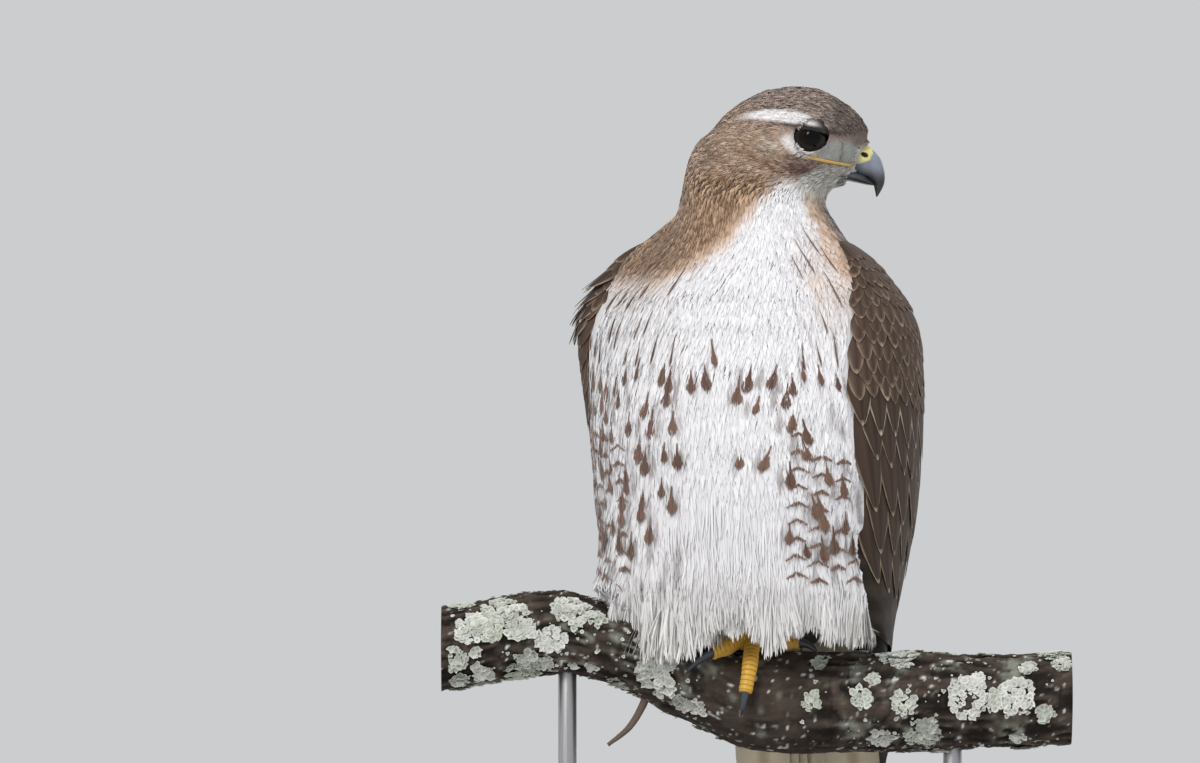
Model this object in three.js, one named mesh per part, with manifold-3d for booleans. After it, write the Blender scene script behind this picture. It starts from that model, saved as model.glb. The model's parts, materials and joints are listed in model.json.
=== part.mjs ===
// A red-tailed hawk at life size, standing on one foot on a cut length of branch, with its head turned
// over its left shoulder. A flat base and two rods hold the branch up, so that the tail hangs clear.
// Lengths are in millimetres, +Z is up, the branch runs along X and the bird faces -Y, turned a little to -X.
import * as THREE from "three";
import { mergeVertices } from "three/addons/utils/BufferGeometryUtils.js";
import Module from "manifold-3d";

const wasm = await Module();
wasm.setup();

// Driving dimensions
const GAP = 0.35; // clear space left where two pieces touch
const CHEST_TURN = 20; // degrees that the chest is turned from -Y towards -X
const HEAD_TURN = 105; // degrees that the head is turned to the bird's left of its chest
const BODY_SHIFT = -4; // the bird's middle plane, along the branch from the base's middle
const BASE = { width: 290, depth: 230, thick: 14, corner: 24, edge: 2 };
const ROD = { radius: 5, sunk: 12, places: [-104, 104] };
const PERCH_TOP = 208; // height of the bark under the foot above the floor
const PERCH_BACK = -14; // the branch's axis lies this far in front of the base's middle
const EYE_LINE = { x: 31.4, y: 7.2, z: 277 }; // midway between the eyes, in the bird's frame
const EYE = { out: 21.2, radius: 8.6, forward: 24, rim: 1.3 };

// Sections of the body from the hem up to the neck, which leans a little to the bird's right: height over
// the perch, middle, half width, half depth
const BODY = [
  { z: 10, x: 0, y: 15, a: 68, b: 56 },
  { z: 20, x: 0, y: 16, a: 78, b: 67 },
  { z: 45, x: 0, y: 12, a: 81, b: 74 },
  { z: 76, x: 0, y: 7, a: 88, b: 78 },
  { z: 110, x: 0, y: 2, a: 92, b: 78 },
  { z: 146, x: 0, y: 0, a: 92, b: 73 },
  { z: 180, x: 0, y: 0, a: 88, b: 63 },
  { z: 205, x: 0, y: 3, a: 70, b: 50 },
  { z: 222, x: 0, y: 4, a: 54, b: 42 },
  { z: 238, x: -1, y: 3, a: 43.5, b: 38 },
  { z: 253, x: -3, y: 2, a: 38.5, b: 36 },
  { z: 267, x: -5, y: 2, a: 34, b: 32 },
  { z: 279, x: -6, y: 2, a: 26, b: 24 },
];
// The held-up leg swells the belly's feathers forward and to the bird's right, low on the body
const SWELL = { by: 0.2, at: -50, wide: 30, full: 25, none: 85 };
// Sections of the head from nape to face: along the beak's way from the eyes, crown, jaw, half width
const HEAD = [
  { x: -57, top: 1, low: -22, w: 9 },
  { x: -51, top: 10, low: -34, w: 20 },
  { x: -39, top: 19.5, low: -42, w: 27 },
  { x: -26, top: 25, low: -44, w: 30.5 },
  { x: -9, top: 27.5, low: -41, w: 31 },
  { x: 4, top: 26, low: -36, w: 28.5 },
  { x: 14, top: 21.5, low: -30, w: 23.5 },
  { x: 22, top: 16.5, low: -25, w: 17.5 },
  { x: 28, top: 10.5, low: -20, w: 11.5 },
  { x: 32, top: 5, low: -12, w: 6 },
];
// Sections of the upper and lower halves of the bill, across their own middle lines
const BILL = [
  { x: 16, z: -9, h: 7.5, w: 9.5 },
  { x: 24, z: -11, h: 8, w: 8.4 },
  { x: 31, z: -15.4, h: 7.3, w: 6.4 },
  { x: 34.6, z: -19.8, h: 4.7, w: 4.6 },
  { x: 36, z: -24.5, h: 3.2, w: 3 },
  { x: 35.6, z: -28.7, h: 1.7, w: 1.6 },
  { x: 35, z: -32.4, h: 0.35, w: 0.35 },
];
const LOWER_BILL = [
  { x: 9, z: -18.5, h: 3, w: 8.5 },
  { x: 17, z: -19.4, h: 3.6, w: 7.8 },
  { x: 24, z: -21.6, h: 2.6, w: 6.2 },
  { x: 29, z: -23.4, h: 1.7, w: 4.2 },
  { x: 32, z: -24.8, h: 0.7, w: 2.2 },
];
const CERE_FRONT = { x: 28.6, z: -12, tilt: 24 }; // plane where the yellow cere meets the horn
// The folded wing's sheet: height, middle, half width and half depth, the degrees from the front where it
// begins on the left and on the right side, where the flank's feathers lie over its edge, and where it ends;
// shrug is how much further out the right wing stands
const WING = [
  { z: -122, y: 121, a: 20, b: 8, left: 96, right: 96, to: 162, shrug: 0 },
  { z: -90, y: 108, a: 34, b: 14, left: 104, right: 104, to: 168, shrug: 0 },
  { z: -60, y: 96, a: 45, b: 24, left: 105, right: 105, to: 175, shrug: 0 },
  { z: -42, y: 77, a: 51, b: 43, left: 99, right: 99, to: 177, shrug: 0 },
  { z: -25, y: 52, a: 56, b: 57, left: 97, right: 94, to: 178, shrug: 0 },
  { z: -12, y: 41, a: 61, b: 60, left: 101, right: 94, to: 178.3, shrug: 0 },
  { z: -4, y: 35, a: 64, b: 62, left: 98, right: 94, to: 178.5, shrug: 0 },
  { z: 10, y: 24, a: 69, b: 68, left: 80, right: 90, to: 178.5, shrug: 2 },
  { z: 45, y: 14, a: 80, b: 76, left: 62, right: 84, to: 178.5, shrug: 4 },
  { z: 76, y: 8, a: 88, b: 80, left: 56, right: 80, to: 178.5, shrug: 3 },
  { z: 110, y: 3, a: 93, b: 80, left: 52, right: 78, to: 178, shrug: 0 },
  { z: 146, y: 1, a: 95, b: 75, left: 49, right: 74, to: 176, shrug: 2 },
  { z: 180, y: 1, a: 91, b: 65, left: 51, right: 62, to: 168, shrug: 7 },
  { z: 205, y: 4, a: 73, b: 52, left: 62, right: 66, to: 158, shrug: 12 },
  { z: 216, y: 5, a: 61, b: 45, left: 70, right: 72, to: 152, shrug: 13 },
  { z: 226, y: 5, a: 50, b: 40, left: 74, right: 76, to: 150, shrug: 9 },
];
// How far under the wing's outline its core begins and how far in it ends
const WING_CORE = [
  { z: -122, top: 1.2, under: 3 },
  { z: -40, top: 1.8, under: 3.6 },
  { z: 10, top: 3.4, under: 6.4 },
  { z: 60, top: 4.2, under: 8.2 },
  { z: 110, top: 4.4, under: 9 },
  { z: 226, top: 4.2, under: 8.8 },
];
// Rows of feathers on a wing: how many, where the first and last are across the wing at root and tip,
// heights of roots and tips, half widths at root and tip as shares of the wing, and rise of the tips over
// the core
const WING_ROWS = {
  greater: {
    count: 5, root: [0.115, 0.76], tip: [0.12, 0.78], from: [136, 124], to: [76, 38], half: [0.1, 0.1],
    rise: 4, step: 0.35, rows: 3,
  },
  median: {
    count: 4, root: [0.12, 0.62], tip: [0.12, 0.64], from: [172, 164], to: [108, 84], half: [0.105, 0.105],
    rise: 4, step: 0.2, rows: 2,
  },
  scapulars: {
    count: 3, root: [0.68, 0.9], tip: [0.7, 0.9], from: [168, 160], to: [72, 44], half: [0.07, 0.08],
    rise: 4, step: 0, rows: 3,
  },
  lesser: {
    count: 3, root: [0.16, 0.54], tip: [0.14, 0.56], from: [207, 202], to: [146, 138], half: [0.11, 0.12],
    rise: 4, step: 0, rows: 2,
  },
  mantle: {
    count: 3, root: [0.66, 0.89], tip: [0.68, 0.9], from: [208, 203], to: [134, 124], half: [0.07, 0.07],
    rise: 4.2, step: 0, rows: 3,
  },
};
// The flight feathers lie each a layer over the one in front, on lines that they share: heights of the
// lines, how far over the core the first feather is at each, and how low each feather reaches
const FLIGHTS = {
  primaries: {
    lines: [60, 18, -18, -50], over: [-1.4, -0.3, 0.1, 0.2, 0.2], first: 0.03, last: 0.93,
    ends: [-84, -98, -110, -118, -113],
  },
  secondaries: {
    lines: [90, 56, 20], over: [-2.4, -0.4, 1.9, 2.4], first: 0.1, last: 0.985, ends: [2, -16, -30, -42, -50],
  },
};
const LAYER = 0.75;
const VANE = { thick: 0.5, sunk: 1.7, tilt: 0.55 };
// The branch: along it, its middle height and radius
const PERCH = [
  { x: -172, z: 1, r: 23.5 },
  { x: -108, z: 9, r: 22.5 },
  { x: -75, z: 2, r: 23.5 },
  { x: -43, z: -12, r: 25 },
  { x: -11, z: -26, r: 26.5 },
  { x: 22, z: -28.5, r: 28 },
  { x: 76, z: -27.5, r: 27 },
  { x: 130, z: -28, r: 25.5 },
  { x: 168, z: -26, r: 25 },
];
const TAIL = {
  root: { y: 67, z: 41 }, long: 224, slope: 75, feathers: 12, vane: 30, spread: 3.2, pitch: 3.7, layer: 0.85,
  thick: 0.5,
};
// Plumes along the body's hem: degrees from the front where they begin and end, how many, root and tip
// heights, half width and how far the tips lean in or out
const PLUMES = {
  left: [
    { from: -8, to: 84, count: 8, root: 27, tip: -3, half: 7.5, lean: 0.9 },
    { from: -3, to: 78, count: 6, root: 44, tip: 12, half: 9, lean: 0.98 },
    { from: 98, to: 145, count: 3, root: 26, tip: -8, half: 9, lean: 0.9 },
    { from: 70, to: 88, count: 2, root: 30, tip: -2, half: 7, lean: 1.16 },
  ],
  right: [
    { from: -92, to: -12, count: 8, root: 27, tip: -6, half: 7.5, lean: 0.93 },
    { from: -86, to: -16, count: 6, root: 44, tip: 12, half: 9, lean: 0.99 },
    { from: -145, to: -102, count: 3, root: 26, tip: -8, half: 9, lean: 0.9 },
  ],
};
const PLUME_FLAT = 0.32; // a plume's thickness as a share of its width

const rad = THREE.MathUtils.degToRad;
const V = (x, y, z) => new THREE.Vector3(x, y, z);
const range = (n) => Array.from({ length: n }, (_, i) => i);

// One column of a table of sections at any place, on a smooth curve through its rows
function along(table, column, place, key = "z") {
  const last = table.length - 1;
  const x = (i) => table[i][key];
  const y = (i) => table[i][column];
  const slope = (i) => {
    const [p, q] = [Math.max(i - 1, 0), Math.min(i + 1, last)];
    return (y(q) - y(p)) / (x(q) - x(p));
  };
  const at = Math.min(Math.max(place, x(0)), x(last));
  const i = Math.min(Math.max(table.findIndex((row) => row[key] >= at) - 1, 0), last - 1);
  const step = x(i + 1) - x(i);
  const s = (at - x(i)) / step;
  const [s2, s3] = [s * s, s * s * s];
  return (2 * s3 - 3 * s2 + 1) * y(i) + (s3 - 2 * s2 + s) * step * slope(i)
    + (3 * s2 - 2 * s3) * y(i + 1) + (s3 - s2) * step * slope(i + 1);
}

function surface(points, faces) {
  const g = new THREE.BufferGeometry().setFromPoints(points);
  g.setIndex(faces);
  return g;
}

// A closed surface through rings of equal length, with a fan over each end
function loft(rings) {
  const sides = rings[0].length;
  const points = rings.flat();
  const faces = [];
  for (const r of range(rings.length - 1))
    for (const s of range(sides)) {
      const a = r * sides + s;
      const b = r * sides + ((s + 1) % sides);
      faces.push(a, b, a + sides, b, b + sides, a + sides);
    }
  for (const end of [0, rings.length - 1]) {
    const middle = rings[end].reduce((sum, p) => sum.add(p), V(0, 0, 0)).divideScalar(sides);
    const c = points.push(middle) - 1;
    for (const s of range(sides)) {
      const [a, b] = [end * sides + s, end * sides + ((s + 1) % sides)];
      faces.push(...(end ? [a, b, c] : [b, a, c]));
    }
  }
  return surface(points, faces);
}

// Draws between 0 and 1 that are the same in every run
function seeded(start) {
  let state = start * 7919;
  return () => {
    state = (state * 16807) % 2147483647;
    return state / 2147483647;
  };
}

// A closed plate over a grid, split alike on both faces; at(i, j, face) is a corner of face 0 or 1
function plate(columns, rows, at) {
  const points = [];
  for (const face of [0, 1])
    for (const j of range(rows + 1)) for (const i of range(columns + 1)) points.push(at(i, j, face));
  const id = (i, j, face) => face * (columns + 1) * (rows + 1) + j * (columns + 1) + i;
  const faces = [];
  const quad = (a, b, c, d) => faces.push(a, b, c, a, c, d);
  for (const j of range(rows))
    for (const i of range(columns)) {
      quad(id(i, j, 1), id(i + 1, j, 1), id(i + 1, j + 1, 1), id(i, j + 1, 1));
      faces.push(id(i, j, 0), id(i + 1, j + 1, 0), id(i + 1, j, 0));
      faces.push(id(i, j, 0), id(i, j + 1, 0), id(i + 1, j + 1, 0));
    }
  for (const i of range(columns)) {
    quad(id(i, 0, 0), id(i + 1, 0, 0), id(i + 1, 0, 1), id(i, 0, 1));
    quad(id(i + 1, rows, 0), id(i, rows, 0), id(i, rows, 1), id(i + 1, rows, 1));
  }
  for (const j of range(rows)) {
    quad(id(0, j + 1, 0), id(0, j, 0), id(0, j, 1), id(0, j + 1, 1));
    quad(id(columns, j, 0), id(columns, j + 1, 0), id(columns, j + 1, 1), id(columns, j, 1));
  }
  return surface(points, faces);
}

// A solid with its faces turned outwards, from a closed geometry
function solid(geometry) {
  const g = geometry.clone();
  for (const name of ["normal", "uv"]) g.deleteAttribute(name);
  const merged = mergeVertices(g, 1e-4);
  const vertProperties = merged.attributes.position.array;
  const make = (triVerts) => new wasm.Manifold(new wasm.Mesh({ numProp: 3, vertProperties, triVerts }));
  const triVerts = new Uint32Array(merged.index.array);
  const made = make(triVerts);
  return made.volume() > 0 ? made : make(triVerts.reverse());
}

const join = (pieces) => pieces.reduce((a, b) => a.add(b));
const cut = (piece, ...tools) => tools.reduce((a, b) => a.subtract(b), piece);
const volume = (piece) => piece.volume();

// The mesh of a solid's largest closed surface
function node(name, made, finish) {
  const main = made.decompose().sort((a, b) => volume(b) - volume(a))[0];
  const mesh = main.getMesh();
  const points = new Float32Array(mesh.numVert * 3);
  for (const i of range(mesh.numVert)) {
    const from = i * mesh.numProp;
    points.set(mesh.vertProperties.subarray(from, from + 3), i * 3);
  }
  const g = new THREE.BufferGeometry().setAttribute("position", new THREE.BufferAttribute(points, 3));
  g.setIndex(new THREE.BufferAttribute(mesh.triVerts, 1));
  g.computeVertexNormals();
  const shown = new THREE.Mesh(g, finish);
  shown.name = name;
  return shown;
}

function block(low, high) {
  const size = high.clone().sub(low);
  const middle = low.clone().add(high).divideScalar(2);
  return solid(new THREE.BoxGeometry(size.x, size.y, size.z).translate(middle.x, middle.y, middle.z));
}

function ellipseRing(middle, across, up, sides) {
  return range(sides).map((i) => {
    const t = (i / sides) * 2 * Math.PI;
    return middle.clone().addScaledVector(across, Math.sin(t)).addScaledVector(up, Math.cos(t));
  });
}

// A bent, tapering round bar: points with a radius each, the section turned to the way it runs; grow makes
// it larger all round, its ends too
function bar(points, radii, sides, { flat = 1, side = V(1, 0, 0), grow = 0 } = {}) {
  const last = points.length - 1;
  const rings = points.map((p, i) => {
    const way = points[Math.min(i + 1, last)].clone().sub(points[Math.max(i - 1, 0)]).normalize();
    const across = side.clone().addScaledVector(way, -side.dot(way)).normalize();
    const up = across.clone().cross(way);
    const place = p.clone().addScaledVector(way, grow * ((i === last) - (i === 0)));
    const r = radii[i] + grow;
    return ellipseRing(place, across.multiplyScalar(r), up.multiplyScalar(r * flat), sides);
  });
  return loft(rings);
}

// Places along the branch in the bird's frame
const birdPlace = new THREE.Matrix4().makeRotationZ(-rad(CHEST_TURN)).setPosition(BODY_SHIFT, 0, 0);
const toBird = birdPlace.clone().invert();
const headPlace = new THREE.Matrix4().makeRotationZ(rad(HEAD_TURN - 90));
headPlace.setPosition(EYE_LINE.x, EYE_LINE.y, EYE_LINE.z);

// A point over the bark: along the branch, degrees from its top towards the front, and height over the bark
function overBark(x, turn, height) {
  const r = along(PERCH, "r", x, "x") + height;
  const t = rad(turn);
  return V(x, -r * Math.sin(t), along(PERCH, "z", x, "x") + r * Math.cos(t));
}

// Low lumps of the bark, as a share of the radius
const lumps = (x, t) =>
  0.022 * Math.sin(x / 11 + 2 * t) + 0.02 * Math.sin(x / 19 - 3 * t + 1) + 0.012 * Math.sin(x / 6 + 5 * t);

function branch(grow) {
  const [low, high] = [PERCH[0].x, PERCH.at(-1).x];
  const steps = 24;
  const sides = 11;
  const rings = range(steps + 1).map((i) => {
    const x = low + ((high - low) * i) / steps;
    return range(sides).map((k) => {
      const t = (k / sides) * 2 * Math.PI;
      const calm = Math.min(1, Math.abs(x + 4) / 60); // smoother under the foot
      const r = along(PERCH, "r", x, "x") * (1 + calm * lumps(x, t)) + grow;
      const end = grow * ((i === steps) - (i === 0));
      return V(x + end, r * Math.sin(t), along(PERCH, "z", x, "x") + r * Math.cos(t));
    });
  });
  return loft(rings);
}

function twig() {
  const points = [V(-57, -4, -14), V(-64, -5, -31), V(-71, -6, -42), V(-82, -6, -51)];
  return bar(points, [3.2, 2.6, 2.2, 1.4], 6, { side: V(0, 1, 0) });
}

// A point on the body's outline, by degrees from its front to its left, and height
function bodyPoint(degrees, z, scale = 1, grow = 0) {
  const off = ((degrees + 540 - SWELL.at) % 360) - 180;
  const low = THREE.MathUtils.smoothstep(SWELL.none - z, 0, SWELL.none - SWELL.full);
  const share = scale * (1 + SWELL.by * low * Math.exp(-((off / SWELL.wide) ** 2)));
  const t = rad(degrees);
  return V(along(BODY, "x", z) + (along(BODY, "a", z) * share + grow) * Math.sin(t),
    along(BODY, "y", z) - (along(BODY, "b", z) * share + grow) * Math.cos(t), z);
}
const BODY_HEIGHTS = [12, 22, 38, 58, 80, 104, 128, 150, 170, 187, 201, 214, 226, 238, 251, 265, 279];
function bodyLoft() {
  return loft(BODY_HEIGHTS.map((z) => range(24).map((k) => bodyPoint((k * 360) / 24, z))));
}

function headLoft() {
  const rings = HEAD.map(({ x, top, low, w }) =>
    ellipseRing(V(x, 0, (top + low) / 2), V(0, w, 0), V(0, 0, (top - low) / 2), 16));
  return loft(rings).applyMatrix4(headPlace);
}

function billLoft(table, grow) {
  const points = table.map((s) => V(s.x, 0, s.z));
  const last = points.length - 1;
  return loft(table.map((s, i) => {
    const way = points[Math.min(i + 1, last)].clone().sub(points[Math.max(i - 1, 0)]).normalize();
    const up = V(-way.z, 0, way.x).multiplyScalar(s.h + grow);
    return ellipseRing(points[i].clone().addScaledVector(way, i ? 0 : -grow), V(0, s.w + grow, 0), up, 12);
  })).applyMatrix4(headPlace);
}

// The folded wing's sheet: u runs from its front edge to the bird's back, side is 1 left and -1 right
function sheet(side, u, z) {
  const t = rad(along(WING, side > 0 ? "left" : "right", z) * (1 - u) + along(WING, "to", z) * u);
  const a = along(WING, "a", z) + (side < 0 ? along(WING, "shrug", z) : 0);
  return V(side * a * Math.sin(t), along(WING, "y", z) - along(WING, "b", z) * Math.cos(t), z);
}

function outward(side, u, z) {
  const step = 0.5;
  const down = sheet(side, u, z - step).sub(sheet(side, u, z + step));
  const back = sheet(side, u + 0.01, z).sub(sheet(side, u - 0.01, z));
  const way = down.cross(back).normalize().multiplyScalar(side);
  const middle = V(0, along(WING, "y", z), z);
  return way.dot(sheet(side, u, z).sub(middle)) > 0 ? way : way.negate();
}

// A slab that follows the wing's sheet, between two heights over it; more widens it past the wing's edges
function wingSlab(side, more, heights, inner, outer) {
  const columns = 6;
  return plate(columns, heights.length - 1, (i, j, face) => {
    const [u, z] = [((1 + 2 * more) * i) / columns - more, heights[j]];
    return sheet(side, u, z).addScaledVector(outward(side, u, z), face ? outer(z) : inner(z));
  });
}

const CORE_HEIGHTS = [215, 204, 188, 162, 130, 98, 66, 38, 16];

const BED_HEIGHTS = [226, 220, ...CORE_HEIGHTS, -4, -14, -25, -42, -60, -118];
const [under, top] = ["under", "top"].map((name) => (z) => -along(WING_CORE, name, z));

function wingCore(side) {
  return wingSlab(side, -0.008, CORE_HEIGHTS, under, top);
}

function wingBed(side) {
  return wingSlab(side, 0.005, BED_HEIGHTS, (z) => under(z) - 2 * GAP, () => 30);
}

// One feather on the wing: its middle runs from root to tip, and one edge stands over its neighbour
function wingVane(side, f) {
  return plate(2, f.rows, (i, j, face) => {
    const c = i - 1;
    const s = j === f.rows && c ? 0.94 : j / f.rows;
    const wide = (j ? (j === f.rows ? 0.35 : 1) : 0.75) * THREE.MathUtils.lerp(...f.half, s);
    const z = THREE.MathUtils.lerp(f.from, f.to, s);
    const u = THREE.MathUtils.lerp(f.root, f.tip, s) + c * wide;
    const height = THREE.MathUtils.lerp(-VANE.sunk, f.rise, s) + c * VANE.tilt + top(z);
    return sheet(side, u, z).addScaledVector(outward(side, u, z), height - (face ? 0 : VANE.thick));
  });
}

function flight(side, k, { lines, over, first, last, ends }) {
  const pitch = (last - first) / (ends.length + 1);
  const low = lines.length;
  return plate(2, low, (i, j, face) => {
    const tip = j === low;
    const z = tip ? ends[k] + (i === 1 ? 0 : 7) : lines[j];
    const u = first + (k + (tip ? 1 + (i - 1) * 0.4 : i)) * pitch;
    const height = over[j] + (j ? k * LAYER : 0) + top(z);
    return sheet(side, u, z).addScaledVector(outward(side, u, z), height - (face ? 0 : VANE.thick));
  });
}

function wing(side) {
  const draw = seeded(side > 0 ? 11 : 12);
  const coverts = Object.values(WING_ROWS).flatMap((row) => range(row.count).map((k) => {
    const mix = ([a, b]) => THREE.MathUtils.lerp(a, b, k / (row.count - 1));
    return solid(wingVane(side, {
      root: mix(row.root), tip: mix(row.tip), from: mix(row.from), to: mix(row.to) + 4 * (draw() - 0.5),
      half: row.half, rise: row.rise + k * row.step, rows: row.rows,
    }));
  }));
  const flights = Object.values(FLIGHTS).flatMap((row) =>
    row.ends.map((_, k) => solid(flight(side, k, row))));
  return join([solid(wingCore(side)), ...flights, ...coverts]);
}

// A place on the tail: off counts feathers from its middle, across is sideways and s along it from the root
function tailPoint(off, across, s, lift) {
  const turn = rad((off / (TAIL.feathers / 2)) * TAIL.spread);
  const length = TAIL.long * s * (1 - 0.01 * Math.abs(off));
  const down = Math.cos(turn) * length - across * Math.sin(turn);
  const slope = rad(TAIL.slope);
  return V(off * TAIL.pitch + Math.sin(turn) * length + across * Math.cos(turn),
    TAIL.root.y + down * Math.cos(slope) + lift * Math.sin(slope),
    TAIL.root.z - down * Math.sin(slope) + lift * Math.cos(slope));
}

// The outermost feathers lie lowest and the middle ones on top, each a layer over the one before
function tailVane(index) {
  const off = index - (TAIL.feathers - 1) / 2;
  const rank = TAIL.feathers - 1 - 2 * Math.abs(off) + (off > 0 ? 1 : 0);
  const lift = (rank - 4) * TAIL.layer;
  const wide = [0.3, 0.9, 1, 0.4];
  const places = [0.05, 0.34, 0.86, 1];
  return plate(2, 3, (i, j, face) => {
    const c = i - 1;
    const s = j === 3 && c ? 0.975 : places[j];
    return tailPoint(off, (c * TAIL.vane * wide[j]) / 2, s, lift + (face ? 0 : -TAIL.thick));
  });
}

// The tail's root, where its feathers meet; grown, it is also the room that the body leaves for the tail
function tailRoot(grow, ends) {
  return plate(4, 1, (i, j, face) => {
    const c = i / 2 - 1;
    const s = ends[j];
    const half = 23 + grow + (s - ends[0]) * 30;
    const top = 6.4 - 8 * Math.abs(c) + (grow ? 3 : 0);
    return tailPoint(0, c * half, s, face ? top + grow : -4.6 - grow);
  });
}

// A plume at the hem: a flat lock that tapers from its sunk root to its tip and curls a little
function plume(degrees, row, draw) {
  const root = bodyPoint(degrees, row.root + 3 * draw(), 1, -2.6);
  const tipHeight = row.tip + 9 * (draw() - 0.5);
  const tip = bodyPoint(degrees + 5 * (draw() - 0.5), 20, row.lean).setZ(tipHeight);
  const middle = bodyPoint(degrees, row.root * 0.6 + row.tip * 0.4, 1.02, 0.8);
  middle.setZ(row.root * 0.5 + tipHeight * 0.5);
  const side = V(Math.cos(rad(degrees)), Math.sin(rad(degrees)), 0);
  const outwards = V(side.y, -side.x, 0);
  const low = middle.clone().lerp(tip, 0.6).addScaledVector(outwards, 2);
  const wide = [0.8, 1, 0.66, 0.12].map((k) => k * row.half * (0.85 + 0.3 * draw()));
  return solid(bar([root, middle, low, tip], wide, 4, { flat: PLUME_FLAT, side }));
}

function plumes(side) {
  const draw = seeded(side > 0 ? 21 : 22);
  return PLUMES[side > 0 ? "left" : "right"].flatMap((row) => range(row.count).map((k) =>
    plume(THREE.MathUtils.lerp(row.from, row.to, k / (row.count - 1)) + 3 * (draw() - 0.5), row, draw)));
}

const feather = (colour, roughness = 0.9) => new THREE.MeshStandardMaterial({ color: colour, roughness });
const FINISH = {
  white: feather(0xe9e6e0),
  tawny: feather(0xa98468),
  brown: feather(0x4a3a30),
  rufous: feather(0xa65a33),
  horn: new THREE.MeshStandardMaterial({ color: 0x3a3d47, roughness: 0.35 }),
  cere: new THREE.MeshStandardMaterial({ color: 0xcfc34a, roughness: 0.45 }),
  foot: new THREE.MeshStandardMaterial({ color: 0xd9a91f, roughness: 0.55 }),
  eye: new THREE.MeshStandardMaterial({ color: 0x17100c, roughness: 0.05 }),
  bark: new THREE.MeshStandardMaterial({ color: 0x5b5048, roughness: 0.95 }),
  board: new THREE.MeshStandardMaterial({ color: 0x6b4a30, roughness: 0.5 }),
  steel: new THREE.MeshStandardMaterial({ color: 0x8d8f92, roughness: 0.35, metalness: 1 }),
};

const perchSolid = solid(branch(0)).add(solid(twig()));
const perchRoom = solid(branch(0.6).applyMatrix4(toBird));
const beds = [1, -1].map((side) => solid(wingBed(side)));
const tailPass = solid(tailRoot(2.5, [-0.018, 0.5]));

// Head, neck and body are shaped whole and then parted by thin cuts
const NECK_TOP = 246;
const NECK_BASE = 212;
const LEG_TOP = 45;
const LEG_PARTING = -13; // the bearing leg takes up the body's middle, so the legs part to its right
const slice = (piece, low, high) => piece.intersect(block(V(-300, -300, low), V(300, 300, high)));
const half = (piece, side) => piece.intersect(
  side > 0 ? block(V(LEG_PARTING + GAP / 2, -300, -300), V(300, 300, 300))
    : block(V(-300, -300, -300), V(LEG_PARTING - GAP / 2, 300, 300)));

const eyePlace = (side) => V(0, side * EYE.out, 0);
const eyeWay = (side) => V(Math.sin(rad(EYE.forward)), side * Math.cos(rad(EYE.forward)), 0);
function eyeBall(side, grow) {
  const p = eyePlace(side);
  const ball = new THREE.SphereGeometry(EYE.radius + grow, 12, 8).translate(p.x, p.y, p.z);
  return solid(ball.applyMatrix4(headPlace));
}
function lids(side) {
  const out = 4.4;
  const ring = new THREE.TorusGeometry(Math.sqrt(EYE.radius ** 2 - out ** 2) + 0.5, EYE.rim, 5, 14);
  const way = eyeWay(side);
  const turn = new THREE.Quaternion().setFromUnitVectors(V(0, 0, 1), way);
  const p = eyePlace(side).addScaledVector(way, out);
  ring.scale(1.08, 0.92, 1).applyQuaternion(turn).translate(p.x, p.y, p.z);
  return solid(ring.applyMatrix4(headPlace));
}
function brow(side) {
  const points = [V(-19, 25, 14), V(-8, 27.5, 11), V(3, 26.5, 8.5), V(13, 22.5, 5.5), V(21, 16.5, 2)];
  const placed = points.map((p) => V(p.x, p.y * side, p.z));
  const ridge = bar(placed, [2, 4.2, 4.6, 4, 1.5], 8, { flat: 0.8, side: V(0, 1, 0) });
  return solid(ridge.applyMatrix4(headPlace));
}
function lip(side) {
  const points = [V(-4, 26.8, -12), V(4, 25.6, -12.6), V(11, 21.8, -13.6), V(18, 15.2, -15)];
  const placed = points.map((p) => V(p.x, p.y * side, p.z));
  return solid(bar(placed, [0.8, 1.5, 1.6, 1.2], 6, { side: V(0, 1, 0) }).applyMatrix4(headPlace));
}

const whole = cut(join([solid(bodyLoft()), solid(headLoft())]), ...beds);
const billRoom = join([solid(billLoft(BILL, GAP)), solid(billLoft(LOWER_BILL, GAP))]);
const faceForms = [1, -1].flatMap((side) => [brow(side), lids(side), lip(side)]);
const sockets = [1, -1].map((side) => eyeBall(side, GAP));
const head = cut(join([slice(whole, NECK_TOP + GAP, 400), ...faceForms]), billRoom, ...sockets);
const neck = slice(whole, NECK_BASE + GAP, NECK_TOP);
const torso = slice(whole, LEG_TOP + GAP, NECK_BASE);
const skirt = slice(whole, 0, LEG_TOP);

const cerePlane = (side) => {
  const long = 60;
  const box = new THREE.BoxGeometry(long, long, long).translate((side * (long - GAP)) / 2, 0, 0);
  box.rotateY(rad(CERE_FRONT.tilt)).translate(CERE_FRONT.x, 0, CERE_FRONT.z);
  return solid(box.applyMatrix4(headPlace));
};
const nostrils = [1, -1].map((side) => {
  const hole = new THREE.SphereGeometry(1.5, 8, 6).scale(1.3, 1, 0.8).translate(26.5, side * 7.6, -9.4);
  return solid(hole.applyMatrix4(headPlace));
});
const upper = solid(billLoft(BILL, 0));

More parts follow.
